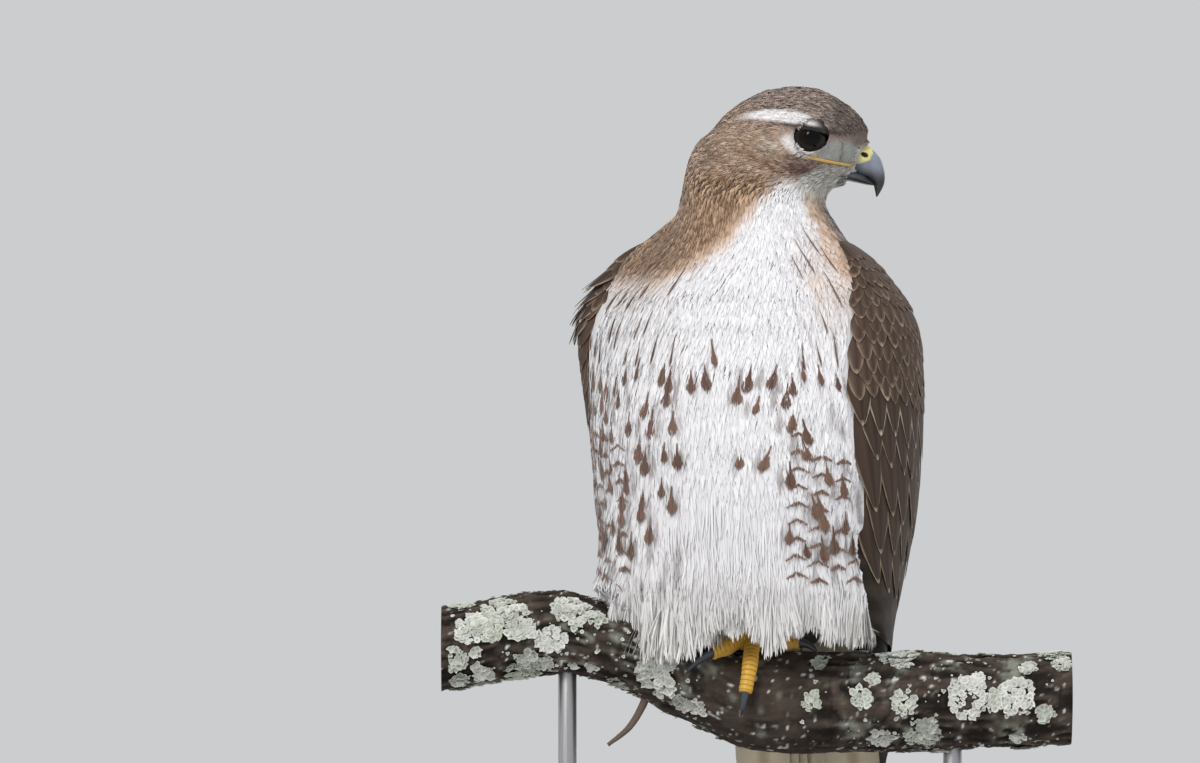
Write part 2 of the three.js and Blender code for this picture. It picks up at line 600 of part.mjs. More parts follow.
// The foot that stands: a shank into the leg's feathers, a pad and four toes that lie on the bark
const TOE_CLEAR = 0.5; // air between a toe's underside and the bark
const SCUTE = { count: 4, long: 4.2, raise: 0.75, sunk: 1.2, wide: 52, from: 0.3, to: 0.94 };
const toeRadius = (thick, s) => thick * (1.1 - 0.22 * s);
function toe(places, thick, grow = 0) {
  const above = thick + TOE_CLEAR;
  const points = places.map(([x, turn, lift]) => overBark(x, turn, above + lift).applyMatrix4(toBird));
  const curve = new THREE.CatmullRomCurve3(points);
  const steps = 6;
  const radii = range(steps + 1).map((i) => toeRadius(thick, i / steps));
  return { shape: bar(range(steps + 1).map((i) => curve.getPointAt(i / steps)), radii, 8, { grow }), curve };
}
// A raised plate across the top of a toe, which looks away from the point of the bark under it
function scute(curve, s, radius, under) {
  const [middle, way] = [curve.getPointAt(s), curve.getTangentAt(s)];
  const out = middle.clone().sub(under);
  out.addScaledVector(way, -out.dot(way)).normalize();
  const side = out.clone().cross(way);
  return solid(plate(2, 1, (i, j, face) => {
    const t = rad((i - 1) * SCUTE.wide);
    const reach = radius + (face ? SCUTE.raise : -SCUTE.sunk);
    return middle.clone().addScaledVector(way, (j - 0.5) * SCUTE.long)
      .addScaledVector(out, reach * Math.cos(t)).addScaledVector(side, reach * Math.sin(t));
  }));
}
function scutes({ places, thick }, { curve }) {
  const [first, last] = [places[0], places.at(-1)];
  return range(SCUTE.count).map((k) => {
    const s = THREE.MathUtils.lerp(SCUTE.from, SCUTE.to, k / (SCUTE.count - 1));
    const [x, turn] = [0, 1].map((n) => THREE.MathUtils.lerp(first[n], last[n], s));
    return scute(curve, s, toeRadius(thick, s), overBark(x, turn, 0).applyMatrix4(toBird));
  });
}
function claw(from, way, down, long, thick) {
  const steps = 4;
  const points = range(steps + 1).map((i) => {
    const s = i / steps;
    const ahead = from.clone().addScaledVector(way, long * s * (1 - 0.25 * s));
    return ahead.addScaledVector(down, long * 0.42 * s * s);
  });
  return bar(points, range(steps + 1).map((i) => Math.max(0.3, thick * (1 - i / steps) ** 0.75)), 6);
}
const TOES = {
  inner: { places: [[-4, 6, 3], [-12, 22, 2], [-20, 40, 1], [-27, 54, 0.5]], thick: 4.8, claw: 24 },
  middle: { places: [[-3, 6, 3], [-4.5, 30, 1], [-6, 58, 0.4], [-8.5, 84, 0]], thick: 4.2, claw: 17 },
  outer: { places: [[-2, 2, 3], [7, 2, 1.5], [15, 4, 0.5], [22, 8, 0.2]], thick: 4, claw: 14 },
  hind: { places: [[-2, -6, 3], [-1.5, -28, 1], [-1, -50, 0.4], [-1, -66, 0]], thick: 4.6, claw: 25 },
};

function standingFoot() {
  const shankAt = [[-3, 2, 37], [-3, 1, 20], [-3, 0, 8], [-3, 0, 4]];
  const places = shankAt.map(([x, turn, height]) => overBark(x, turn, height).applyMatrix4(toBird));
  const shank = (grow) => solid(bar(places, [5, 5, 5.8, 6.5], 10, { grow }));
  const made = Object.entries(TOES).map(([name, t]) => [name, toe(t.places, t.thick)]);
  const plates = made.flatMap(([name, t]) => scutes(TOES[name], t));
  const foot = cut(join([shank(0), ...made.map(([, t]) => solid(t.shape)), ...plates]), perchRoom);
  const rooms = [];
  const claws = made.map(([name, t]) => {
    const { places: at, thick, claw: long } = TOES[name];
    const [end, way] = [t.curve.getPointAt(1), t.curve.getTangentAt(1)];
    const down = overBark(at.at(-1)[0], at.at(-1)[1], 0).applyMatrix4(toBird).sub(end).normalize();
    const base = end.clone().addScaledVector(way, 2 * GAP).addScaledVector(down, -0.8);
    rooms.push(solid(claw(base, way, down, long + 1, thick * 0.72 + 0.8)));
    return [name, cut(solid(claw(base, way, down, long, thick * 0.72)), perchRoom)];
  });
  const toeRooms = Object.values(TOES).map((t) => solid(toe(t.places, t.thick, SCUTE.raise + 2 * GAP).shape));
  return { foot, claws, room: join([shank(2 * GAP), ...toeRooms, ...rooms]) };
}

// The other foot is held up, clenched, behind the belly's feathers; places are from its middle
const FIST = V(-29, -34, 26);
const FIST_SHANK = [[1, 24, 10], [0.5, 16, 10], [0, 8, 8], [0, 2, 5]];
const FIST_TOES = {
  inner: { side: 6.9, path: [[-3, 7.5], [-8.5, 4], [-9, -3], [-4, -8.5]], thick: 3.2, claw: [7, 0.5, 1] },
  middle: { side: 0, path: [[-3, 8.5], [-9.5, 5], [-10.5, -3], [-5.5, -9.5]], thick: 3.3, claw: [7, 0.5, 1] },
  outer: { side: -6.9, path: [[-3, 7.5], [-8.5, 4], [-9, -3], [-4, -8.5]], thick: 3.1, claw: [7, 0.5, 1] },
  hind: { side: 2, path: [[4, 7], [10, 4], [12.5, -3], [11, -9]], thick: 3.4, claw: [10, -1, -0.25] },
};
function tuckedFoot() {
  const at = (x, y, z) => V(x, y, z).add(FIST);
  const shank = (grow) => solid(bar(FIST_SHANK.map((p) => at(...p)), [4.6, 4.8, 5.6, 6], 8, { grow }));
  const toes = Object.entries(FIST_TOES).map(([name, t]) => {
    const points = t.path.map(([y, z]) => at(t.side, y, z));
    const shape = solid(bar(points, [1.15, 1.08, 1, 0.9].map((k) => k * t.thick), 8));
    const way = points[3].clone().sub(points[2]).normalize();
    const [long, back, rise] = t.claw;
    const down = V(0, back > 0 ? 0.6 : -1, rise).normalize();
    const from = points[3].clone().addScaledVector(way, 2 * GAP);
    const horn = solid(claw(from, way, down, long, t.thick * 0.68));
    return { name, shape, horn };
  });
  const hollow = [[-1, 1, 14, 9], [0, 1, 12, 15], [0, 1, 4, 17.5], [0, 1, -40, 18]].map(([x, y, z, r]) =>
    ellipseRing(at(x, y, z), V(r, 0, 0), V(0, -r, 0), 12));
  const room = join([solid(loft(hollow)), shank(GAP + 0.2)]);
  const foot = join([shank(0), ...toes.map((t) => t.shape)]);
  return { foot, claws: toes.map((t) => [t.name, t.horn]), room };
}

// Feathers under the tail's root: a core from the hem down, and vanes over it that end in front of the tail
const UNDERTAIL = [
  { z: -26, y: 80, a: 12, b: 1.2 },
  { z: -14, y: 75, a: 22, b: 3.5 },
  { z: -2, y: 68, a: 29, b: 6 },
  { z: 11.6, y: 60, a: 33, b: 8 },
];
const UNDERTAIL_ROWS = [{ from: 0, to: -24, gap: 18 }, { from: -8, to: -42, gap: 12 }];
function undertail(grow) {
  const core = solid(loft(UNDERTAIL.map((s, i) => {
    const z = s.z + grow * ((i === 3) - (i === 0));
    return ellipseRing(V(0, s.y, z), V(s.a + grow, 0, 0), V(0, -s.b - grow, 0), 12);
  })));
  const draw = seeded(31);
  const front = (z) => along(UNDERTAIL, "y", z) - along(UNDERTAIL, "b", z) + Math.max(0, UNDERTAIL[0].z - z) * 0.3;
  const vane = (x, from, drop) => {
    const at = (s, out) => {
      const z = THREE.MathUtils.lerp(from, drop, s);
      return V(x * (1 + (from - z) * 0.004), front(z) - out, z);
    };
    return solid(bar([at(0, -2.6), at(1 / 3, 0.9), at(2 / 3, 0.6), at(1, -0.6)], [5, 8, 7, 1.2], 4, { flat: 0.16, grow }));
  };
  const vanes = UNDERTAIL_ROWS.flatMap(({ from, to, gap }) => [-1, 0, 1].map((k) =>
    vane(k * gap, from, to + 5 * (draw() - 0.5) + Math.abs(k * gap) * 0.5)));
  return join([core, ...vanes]);
}

const stood = standingFoot();
const tucked = tuckedFoot();
const undertailRoom = undertail(GAP + 0.2);
const legSpace = block(V(-300, -300, -100), V(300, 300, LEG_TOP));
const legs = [1, -1].map((side) => {
  const feathered = join([half(skirt, side), ...plumes(side).map((p) => half(p, side).intersect(legSpace))]);
  return cut(feathered, perchRoom, tailPass, stood.room, tucked.room, undertailRoom, ...beds);
});

const bird = new THREE.Group();
bird.position.set(BODY_SHIFT, PERCH_BACK, PERCH_TOP);
bird.rotation.z = -rad(CHEST_TURN);
bird.add(node("head", head, FINISH.tawny));
bird.add(node("neck", neck, FINISH.tawny));
bird.add(node("torso", torso, FINISH.white));
bird.add(node("leg_left", legs[0], FINISH.white));
bird.add(node("leg_right", legs[1], FINISH.white));
bird.add(node("bill_upper", cut(upper, cerePlane(-1)), FINISH.horn));
bird.add(node("cere", cut(upper, cerePlane(1), ...nostrils), FINISH.cere));
bird.add(node("bill_lower", cut(solid(billLoft(LOWER_BILL, 0)), solid(billLoft(BILL, GAP))), FINISH.horn));
for (const [name, side] of [["left", 1], ["right", -1]]) {
  bird.add(node("eye_" + name, eyeBall(side, 0), FINISH.eye));
  bird.add(node("wing_" + name, wing(side), FINISH.brown));
}
const tail = join([solid(tailRoot(0, [0, 0.17])), ...range(TAIL.feathers).map((k) => solid(tailVane(k)))]);
bird.add(node("tail", tail, FINISH.rufous));
bird.add(node("foot_left", stood.foot, FINISH.foot));
bird.add(node("foot_right", tucked.foot, FINISH.foot));
bird.add(node("undertail", cut(undertail(0), tailPass), FINISH.white));
for (const [name, made] of stood.claws) bird.add(node("claw_left_" + name, made, FINISH.horn));
for (const [name, made] of tucked.claws) bird.add(node("claw_right_" + name, made, FINISH.horn));

const stand = new THREE.Group();
const boardShape = new THREE.Shape();
const [bw, bd, bc] = [BASE.width / 2 - BASE.edge, BASE.depth / 2 - BASE.edge, BASE.corner];
boardShape.moveTo(-bw + bc, -bd).lineTo(bw - bc, -bd).absarc(bw - bc, -bd + bc, bc, -Math.PI / 2, 0, false);
boardShape.lineTo(bw, bd - bc).absarc(bw - bc, bd - bc, bc, 0, Math.PI / 2, false);
boardShape.lineTo(-bw + bc, bd).absarc(-bw + bc, bd - bc, bc, Math.PI / 2, Math.PI, false);
boardShape.lineTo(-bw, -bd + bc).absarc(-bw + bc, -bd + bc, bc, Math.PI, 1.5 * Math.PI, false);
const board = new THREE.ExtrudeGeometry(boardShape, {
  depth: BASE.thick - 2 * BASE.edge,
  bevelSize: BASE.edge,
  bevelThickness: BASE.edge,
  bevelSegments: 1,
  curveSegments: 3,
}).translate(0, 0, BASE.edge);
const rods = ROD.places.map((x) => {
  const top = PERCH_TOP + along(PERCH, "z", x, "x") - along(PERCH, "r", x, "x") + ROD.sunk;
  const foot = BASE.thick + GAP;
  const rod = (grow) => {
    const r = ROD.radius + grow;
    const cylinder = new THREE.CylinderGeometry(r, r, top + grow - foot, 16).rotateX(Math.PI / 2);
    return cylinder.translate(x, PERCH_BACK, (top + grow + foot) / 2);
  };
  return { shape: solid(rod(0)), room: solid(rod(GAP)) };
});
const perchPlaced = perchSolid.translate([0, PERCH_BACK, PERCH_TOP]);
stand.add(node("perch", cut(perchPlaced, ...rods.map((r) => r.room)), FINISH.bark));
stand.add(node("stand_base", solid(board), FINISH.board));
stand.add(node("stand_rod_right", rods[0].shape, FINISH.steel));
stand.add(node("stand_rod_left", rods[1].shape, FINISH.steel));

const model = new THREE.Group();
model.add(bird, stand);
export default model;
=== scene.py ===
"""A red-tailed hawk at life size on a cut branch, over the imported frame.

Lengths inside the functions are millimetres in the bird's own frame, x to its left, y to its back and z up
from the top of the branch, and they become metres in the shared frame when a mesh is made.
"""

import json
import math

import bpy
import numpy as np
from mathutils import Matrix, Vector
from mathutils.bvhtree import BVHTree

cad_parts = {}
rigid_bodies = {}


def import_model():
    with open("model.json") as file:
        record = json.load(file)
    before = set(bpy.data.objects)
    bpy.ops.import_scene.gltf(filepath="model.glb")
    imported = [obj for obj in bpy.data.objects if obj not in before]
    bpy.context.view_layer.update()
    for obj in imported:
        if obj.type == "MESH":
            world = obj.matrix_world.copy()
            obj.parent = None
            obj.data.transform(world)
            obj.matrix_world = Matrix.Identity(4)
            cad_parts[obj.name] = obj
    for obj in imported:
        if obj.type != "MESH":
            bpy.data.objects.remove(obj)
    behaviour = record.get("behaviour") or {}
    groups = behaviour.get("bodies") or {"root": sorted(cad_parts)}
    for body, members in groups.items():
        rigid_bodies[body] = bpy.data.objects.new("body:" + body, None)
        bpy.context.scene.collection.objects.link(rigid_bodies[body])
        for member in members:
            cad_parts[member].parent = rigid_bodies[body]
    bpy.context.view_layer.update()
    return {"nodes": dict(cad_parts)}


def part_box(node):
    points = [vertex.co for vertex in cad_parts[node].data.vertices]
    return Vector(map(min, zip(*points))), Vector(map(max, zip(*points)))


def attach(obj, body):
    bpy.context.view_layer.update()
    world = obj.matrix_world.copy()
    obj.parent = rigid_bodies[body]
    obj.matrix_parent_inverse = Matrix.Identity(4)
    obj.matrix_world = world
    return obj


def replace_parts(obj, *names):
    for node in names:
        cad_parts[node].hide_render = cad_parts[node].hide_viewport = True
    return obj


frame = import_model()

bl_info = {
    "name": "Red-tailed hawk",
    "version": (1, 0, 0),
    "blender": (4, 5, 0),
    "location": "View3D > Sidebar > Hawk",
    "description": "Dresses the frame of a life-size perched hawk",
    "category": "Object",
}

MM = 0.001
CHEST_TURN = math.radians(20)  # the chest is turned from the viewer to the image's left
HEAD_TURN = math.radians(15)  # the bill's way, from the bird's left towards its back
BODY_PLACE = np.array([-4.0, -14.0, 208.0])  # the bird's origin in the shared frame
EYE_LINE = np.array([31.4, 7.2, 277.0])  # midway between the eyes
EYE = {"ahead": 0.4, "out": 20.8, "up": -0.6, "radius": 9.2, "forward": 16}
# The photo: its size, millimetres for each pixel, and the pixel of the bird's place
PHOTO = {"width": 1200, "height": 763, "pixel": 0.54, "left": 760, "top": 650}

# The body from hem to neck: height, how far back its middle lies, half width, half depth
BODY = [
    (10, 15, 68, 56), (20, 16, 78, 67), (45, 12, 81, 74), (76, 7, 88, 78), (110, 2, 92, 78),
    (146, 0, 92, 73), (180, 0, 88, 63), (205, 3, 70, 50), (222, 4, 54, 42), (238, 3, 43.5, 38),
    (253, 2, 38.5, 36), (267, 2, 34, 32), (279, 2, 26, 24),
]
# The folded wing's sheet: height, how far back its middle lies, half width, half depth, degrees from the
# bird's front where it begins on the left and on the right, where it ends, and how much further out the
# right wing stands
WING = [
    (-122, 121, 20, 8, 96, 96, 162, 0), (-90, 108, 34, 14, 104, 104, 168, 0),
    (-60, 96, 45, 24, 105, 105, 175, 0), (-42, 77, 51, 43, 99, 99, 177, 0),
    (-25, 52, 56, 57, 97, 94, 178, 0), (-12, 41, 61, 60, 101, 94, 178.3, 0),
    (-4, 35, 64, 62, 98, 94, 178.5, 0), (10, 24, 69, 68, 80, 90, 178.5, 2),
    (45, 14, 80, 76, 62, 84, 178.5, 4), (76, 8, 88, 80, 56, 80, 178.5, 3),
    (110, 3, 93, 80, 52, 78, 178, 0), (146, 1, 95, 75, 49, 74, 176, 2),
    (180, 1, 91, 65, 51, 62, 168, 7), (205, 4, 73, 52, 62, 66, 158, 12),
    (216, 5, 61, 45, 70, 72, 152, 13), (226, 5, 50, 40, 74, 76, 150, 9),
]
# The branch: along it, middle height, radius
PERCH = [
    (-172, 1, 23.5), (-108, 9, 22.5), (-75, 2, 23.5), (-43, -12, 25), (-11, -26, 26.5), (22, -28.5, 28),
    (76, -27.5, 27), (130, -28, 25.5), (168, -26, 25),
]


def unit(v):
    return v / np.maximum(np.linalg.norm(v, axis=-1, keepdims=True), 1e-9)


def dot(a, b):
    return (a * b).sum(-1, keepdims=True)


def turned(points, angle):
    """Points turned about the upright axis."""
    c, s = math.cos(angle), math.sin(angle)
    x, y, z = np.moveaxis(np.asarray(points, float), -1, 0)
    return np.stack([x * c - y * s, x * s + y * c, z], -1)


def placed(points):
    """From the bird's frame in millimetres to the shared frame in metres."""
    return (turned(points, -CHEST_TURN) + BODY_PLACE) * MM


def unplaced(points):
    return turned(np.asarray(points, float) / MM - BODY_PLACE, CHEST_TURN)


def from_head(points):
    """From the head's frame, x along the bill and y to the head's left, to the bird's."""
    return turned(points, HEAD_TURN) + EYE_LINE


def to_head(points):
    return turned(np.asarray(points, float) - EYE_LINE, -HEAD_TURN)


def smooth_rows(table, column, place):
    """A column of a table at any places, on a smooth curve through its rows."""
    rows = np.array(table, float)
    x, y = rows[:, 0], rows[:, column]
    slope = np.empty_like(y)
    slope[1:-1] = (y[2:] - y[:-2]) / (x[2:] - x[:-2])
    slope[0] = (y[1] - y[0]) / (x[1] - x[0])
    slope[-1] = (y[-1] - y[-2]) / (x[-1] - x[-2])
    at = np.clip(place, x[0], x[-1])
    i = np.clip(np.searchsorted(x, at) - 1, 0, len(x) - 2)
    step = x[i + 1] - x[i]
    s = (at - x[i]) / step
    rise = (s**3 - 2 * s**2 + s) * step * slope[i] + (s**3 - s**2) * step * slope[i + 1]
    return (2 * s**3 - 3 * s**2 + 1) * y[i] + (3 * s**2 - 2 * s**3) * y[i + 1] + rise


def ramp(x, low, high):
    """0 at low, 1 at high, smooth between; low may be the larger."""
    t = np.clip((np.asarray(x, float) - low) / (high - low), 0, 1)
    return t * t * (3 - 2 * t)


def mix(a, b, share):
    share = np.asarray(share, float)[..., None]
    return np.asarray(a) * (1 - share) + np.asarray(b) * share


def hashed(*keys):
    """A draw between 0 and 1 for each set of whole numbers."""
    n = np.zeros(np.broadcast(*keys).shape, np.uint64)
    for key, prime in zip(keys, (73856093, 19349663, 83492791, 49979687)):
        n = n ^ (np.asarray(key).astype(np.int64).astype(np.uint64) * np.uint64(prime))
    n = (n ^ (n >> np.uint64(13))) * np.uint64(1274126177)
    n = (n ^ (n >> np.uint64(16))) & np.uint64(0xFFFFFF)
    return n.astype(float) / 0xFFFFFF


def lumps(points, scale, seed=0):
    """Smooth value noise from -1 to 1 at points, one lump about scale across."""
    p = np.asarray(points, float) / scale
    cell = np.floor(p)
    f = p - cell
    f = f * f * (3 - 2 * f)
    total = 0
    for dx in (0, 1):
        for dy in (0, 1):
            for dz in (0, 1):
                w = np.abs(1 - dx - f[..., 0]) * np.abs(1 - dy - f[..., 1]) * np.abs(1 - dz - f[..., 2])
                total = total + w * hashed(cell[..., 0] + dx, cell[..., 1] + dy, cell[..., 2] + dz, seed)
    return total * 2 - 1


def srgb(r, g, b):
    """A colour given as 0 to 255, as linear light."""
    c = np.array([r, g, b], float) / 255
    return np.where(c <= 0.04045, c / 12.92, ((c + 0.055) / 1.055) ** 2.4)


# Materials

class Wire:
    """A value inside a material; arithmetic on it adds Math nodes."""

    def __init__(self, paint, socket):
        self.paint = paint
        self.socket = socket

    def maths(self, operation, *others):
        inputs = dict(enumerate((self, *others)))
        return self.paint.node("ShaderNodeMath", {"operation": operation}, inputs)

    def __add__(self, other):
        return self.maths("ADD", other)

    __radd__ = __add__

    def __mul__(self, other):
        return self.maths("MULTIPLY", other)

    __rmul__ = __mul__

    def __sub__(self, other):
        return self.maths("SUBTRACT", other)

    def __rsub__(self, other):
        return self * -1 + other

    def sine(self):
        return self.maths("SINE")

    def size(self):
        return self.maths("ABSOLUTE")

    def between(self, low, high):
        """0 at low, 1 at high, smooth between."""
        limits = {"Value": self, "From Min": low, "From Max": high}
        return self.paint.node("ShaderNodeMapRange", {"interpolation_type": "SMOOTHSTEP"}, limits)


def socket_name(name):
    return " ".join(word.upper() if word == "ior" else word.title() for word in name.split("_"))


class Paint:
    """One material; node() adds any node from its type, its settings and the values of its sockets."""

    def __init__(self, name, **uniform):
        self.material = bpy.data.materials.new(name)
        self.material.use_nodes = True
        self.tree = self.material.node_tree
        self.shader = self.tree.nodes["Principled BSDF"]
        for socket, value in uniform.items():
            self.shader.inputs[socket_name(socket)].default_value = value

    def node(self, kind, settings, inputs, output=0):
        made = self.tree.nodes.new(kind)
        for name, value in settings.items():
            if name == "stops":
                self.set_stops(made.color_ramp, value)
            else:
                setattr(made, name, value)
        for name, value in inputs.items():
            self.join(value, made.inputs[name])
        return Wire(self, made.outputs[output])

    @staticmethod
    def set_stops(ramp_, stops):
        while len(ramp_.elements) < len(stops):
            ramp_.elements.new(0.5)
        for element, (place, colour) in zip(ramp_.elements, stops):
            element.position = place
            element.color = (*colour, 1)

    def join(self, value, socket):
        if isinstance(value, Wire):
            self.tree.links.new(value.socket, socket)
        elif socket.type == "RGBA" and len(value) == 3:
            socket.default_value = (*value, 1)
        else:
            socket.default_value = value

    def set(self, **sockets):
        for name, value in sockets.items():
            self.join(value, self.shader.inputs[socket_name(name)])
        return self

    def place_on(self, uv_map):
        """Across and along, in millimetres, from a UV map."""
        uv = self.node("ShaderNodeUVMap", {"uv_map": uv_map}, {})
        parts = self.node("ShaderNodeSeparateXYZ", {}, {0: uv})
        return parts, Wire(self, parts.socket.node.outputs[1])

    def noise(self, vector, scale, detail=3):
        inputs = {"Vector": vector, "Scale": scale, "Detail": detail, "Roughness": 0.55}
        return self.node("ShaderNodeTexNoise", {}, inputs)

    def grain(self, x, y, z, detail=3):
        """Noise over the object with its own fineness along each axis."""
        scales = {0: self.node("ShaderNodeTexCoord", {}, {}, "Object"), 1: (x, y, z)}
        return self.noise(self.node("ShaderNodeVectorMath", {"operation": "MULTIPLY"}, scales), 1.0, detail)

    def blend(self, factor, a, b, kind="MIX"):
        settings = {"data_type": "RGBA", "blend_type": kind}
        return self.node("ShaderNodeMix", settings, {0: factor, 6: a, 7: b}, 2)

    def bump(self, height, distance):
        return self.node("ShaderNodeBump", {}, {"Height": height, "Distance": distance, "Strength": 1.0})

    def tinted(self, low, high, factor):
        """The mesh's own tint, made darker and lighter between two shares of itself."""
        grey = self.node("ShaderNodeMix", {"data_type": "FLOAT"}, {0: factor, 2: low, 3: high})
        even = self.node("ShaderNodeCombineColor", {}, {0: grey, 1: grey, 2: grey})
        tint = self.node("ShaderNodeAttribute", {"attribute_name": "tint"}, {}, "Color")
        return self.blend(1.0, tint, even, "MULTIPLY")


def plumage_material(name, barb, depth, contrast, sheen):
    """Feather web: the tint of each vane, with fine barbs that run out and down from the shaft."""
    paint = Paint(name, roughness=0.62, sheen_weight=sheen, sheen_roughness=0.5, specular_ior_level=0.25)
    across, along = paint.place_on("vane")
    barbs = ((along - across.size() * 0.9) * (2 * math.pi / barb)).sine() * 0.5 + 0.5
    place = paint.node("ShaderNodeCombineXYZ", {}, {0: across * 0.12, 1: (along - across.size()) * 0.8})
    ridge = barbs * 0.6 + paint.noise(place, 1.0, 2) * 0.4
    tint = paint.tinted(1 - contrast, 1 + contrast, ridge)
    return paint.set(base_color=tint, normal=paint.bump(ridge, depth)).material


def skin_material():
    """The skin under the coat, which carries the coat's markings a little darker as painted shade deep in the
    coat.
    """
    paint = Paint("skin under the coat", roughness=0.8, sheen_weight=0.2)
    fibres = paint.grain(900, 900, 160)
    # Painted shade: the coat's tint at 0.62 to 0.95 of itself, never brighter.
    return paint.set(base_color=paint.tinted(0.62, 0.95, fibres), normal=paint.bump(fibres, 0.0006)).material


# Meshes from arrays

def lay_mesh(name, points, faces, material, tint=None, maps=None):
    """A mesh from points in the bird's frame, with colours and UV maps; faces may be several sets."""
    mesh = bpy.data.meshes.new(name)
    points = np.ascontiguousarray(placed(points), np.float32)
    sets = faces if isinstance(faces, list) else [faces]
    corners = np.concatenate([f.ravel() for f in sets]).astype(np.int32)
    sizes = np.concatenate([np.full(len(f), f.shape[1]) for f in sets])
    mesh.vertices.add(len(points))
    mesh.vertices.foreach_set("co", points.ravel())
    mesh.loops.add(len(corners))
    mesh.loops.foreach_set("vertex_index", corners)
    mesh.polygons.add(len(sizes))
    mesh.polygons.foreach_set("loop_start", (np.cumsum(sizes) - sizes).astype(np.int32))
    mesh.polygons.foreach_set("use_smooth", np.ones(len(sizes), bool))
    mesh.update(calc_edges=True)
    colour(mesh, tint)
    for map_name, uv in (maps or {}).items():
        map_points(mesh, map_name, uv)
    mesh.materials.append(material)
    made = linked(name, mesh)
    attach(made, "root")
    return made


def linked(name, data):
    made = bpy.data.objects.new(name, data)
    bpy.context.scene.collection.objects.link(made)
    return made


def colour(mesh, tint):
    """Gives each point its tint, which the materials read."""
    if tint is None:
        return
    layer = mesh.color_attributes.new("tint", "FLOAT_COLOR", "POINT")
    rgba = np.ones((len(tint), 4), np.float32)
    rgba[:, :3] = np.clip(tint, 0, 1)
    layer.data.foreach_set("color", rgba.ravel())


def map_points(mesh, name, uv):
    """A UV map from the place of each point on it."""
    corner = np.zeros(len(mesh.loops), np.int32)
    mesh.loops.foreach_get("vertex_index", corner)
    layer = mesh.uv_layers.new(name=name)
    layer.data.foreach_set("uv", np.ascontiguousarray(uv[corner], np.float32).ravel())


def points_of(piece):
    """The points of a piece in the bird's frame."""
    co = np.zeros(len(piece.data.vertices) * 3)
    piece.data.vertices.foreach_get("co", co)
    return unplaced(co.reshape(-1, 3))


def move_points(piece, points):
    piece.data.vertices.foreach_set("co", placed(points).ravel())
    piece.data.update()


def grid_faces(count, rows, columns):
    """Faces of many grids of rows by columns of points each."""
    r, c = np.meshgrid(np.arange(rows - 1), np.arange(columns - 1), indexing="ij")
    a = (r * columns + c).ravel()
    one = np.stack([a, a + columns, a + columns + 1, a + 1], 1)
    return (one[None] + (np.arange(count) * rows * columns)[:, None, None]).reshape(-1, 4)


def unwrap(points):
    """The skin's own unwrap: round the body by height, a little wider towards the crown."""
    p = np.asarray(points, float)
    round_ = np.arctan2(p[..., 0], -(p[..., 1] - 8)) / (2 * math.pi) + 0.5
    return np.stack([round_, (p[..., 2] + 190) / 505], -1)


PATCH = 0.003


def patches(roots, rows, columns):
    """For many vanes, the UV patch that each has at its root's place."""
    at = unwrap(roots)
    at = (at - at.min(0)) / np.maximum(at.max(0) - at.min(0), 1e-6) * (0.99 - PATCH) + 0.004
    s = np.linspace(-0.5, 0.5, columns) * PATCH
    t = np.linspace(0, 1, rows) * PATCH
    grid = np.stack(np.meshgrid(s, t), -1)
    return at[:, None, None, :] + grid[None]


# Vanes

ROWS_BLADE = (0.0, 0.5, 0.78, 0.92, 1.0)
ROWS_SHORT = (0.0, 0.55, 1.0)


def draped(roots, normals, length, rows, hang):
    """Lines that follow the skin from their roots, as places, normals and ways; below hang they fall free."""
    p, n = roots, normals
    way = lie(p, n)
    lines = [(p, n, way)]
    for a, b in zip(rows[:-1], rows[1:]):
        ahead = p + way * (b - a) * length[:, None]
        near, normal = SKIN["surface"].nearest(ahead)
        free = ramp(ahead[:, 2], hang + 8, hang)
        p, n = mix(near, ahead, free), unit(mix(normal, n * (1, 1, 0.6), free))
        way = unit(mix(lie(p, n), way * (0.9, 0.9, 1) - (0, 0, 0.15), free))
        lines.append((p, n, way))
    return [np.stack(part, 1) for part in zip(*lines)]


def blades(lines, length, width, rng, rows=ROWS_BLADE, columns=5, lift=0.04, sink=0.8, point=0.45, fray=0.3,
           waist=0.55, camber=0.07, sway=0.1):
    """Many soft vanes, each a strip along its line from its sunk root to its pointed and frayed tip."""
    places, ups, ways = (part[:, :, None, :] for part in lines)
    n = len(places)
    length = length[:, None, None, None]
    width = np.broadcast_to(np.asarray(width, float), n)[:, None, None, None]
    lift = np.broadcast_to(np.asarray(lift, float), n)[:, None, None, None]
    side = unit(np.cross(ups, ways))
    t = np.array(rows)[None, :, None, None]
    s = np.linspace(-1, 1, columns)[None, None, :, None]
    torn = -point * np.abs(s) ** 1.6 * width / length * 2.2
    torn = torn + fray * width / length * (rng.random((n, 1, columns, 1)) - 0.5)
    half = width / 2 * (waist + (1 - waist) * np.sin(np.pi * np.clip(t * 0.62 + 0.12, 0, 1)))
    bend = sway * (rng.random((n, 1, 1, 1)) - 0.5)
    rise = lift * (0.5 + rng.random((n, 1, 1, 1)))
    height = -sink * (1 - t) ** 2 + length * rise * t - camber * width * s**2
    return places + ways * length * torn * t**2 + side * (half * s + bend * length * t**2) + ups * height


def vane_maps(roots, points, length, width, rows=None):
    """The UV maps of many vanes: in millimetres across and along, and each vane's patch on the OFBake map."""
    n, r, c = points.shape[:3]
    t = np.array(rows if rows is not None else np.linspace(0, 1, r))
    s = np.linspace(-0.5, 0.5, c)
    vane = np.zeros((n, r, c, 2))
    vane[..., 0] = s[None, None, :] * np.broadcast_to(width, n)[:, None, None]
    vane[..., 1] = t[None, :, None] * np.broadcast_to(length, n)[:, None, None]
    return {"vane": vane.reshape(-1, 2), "OFBake": patches(roots, r, c).reshape(-1, 2)}


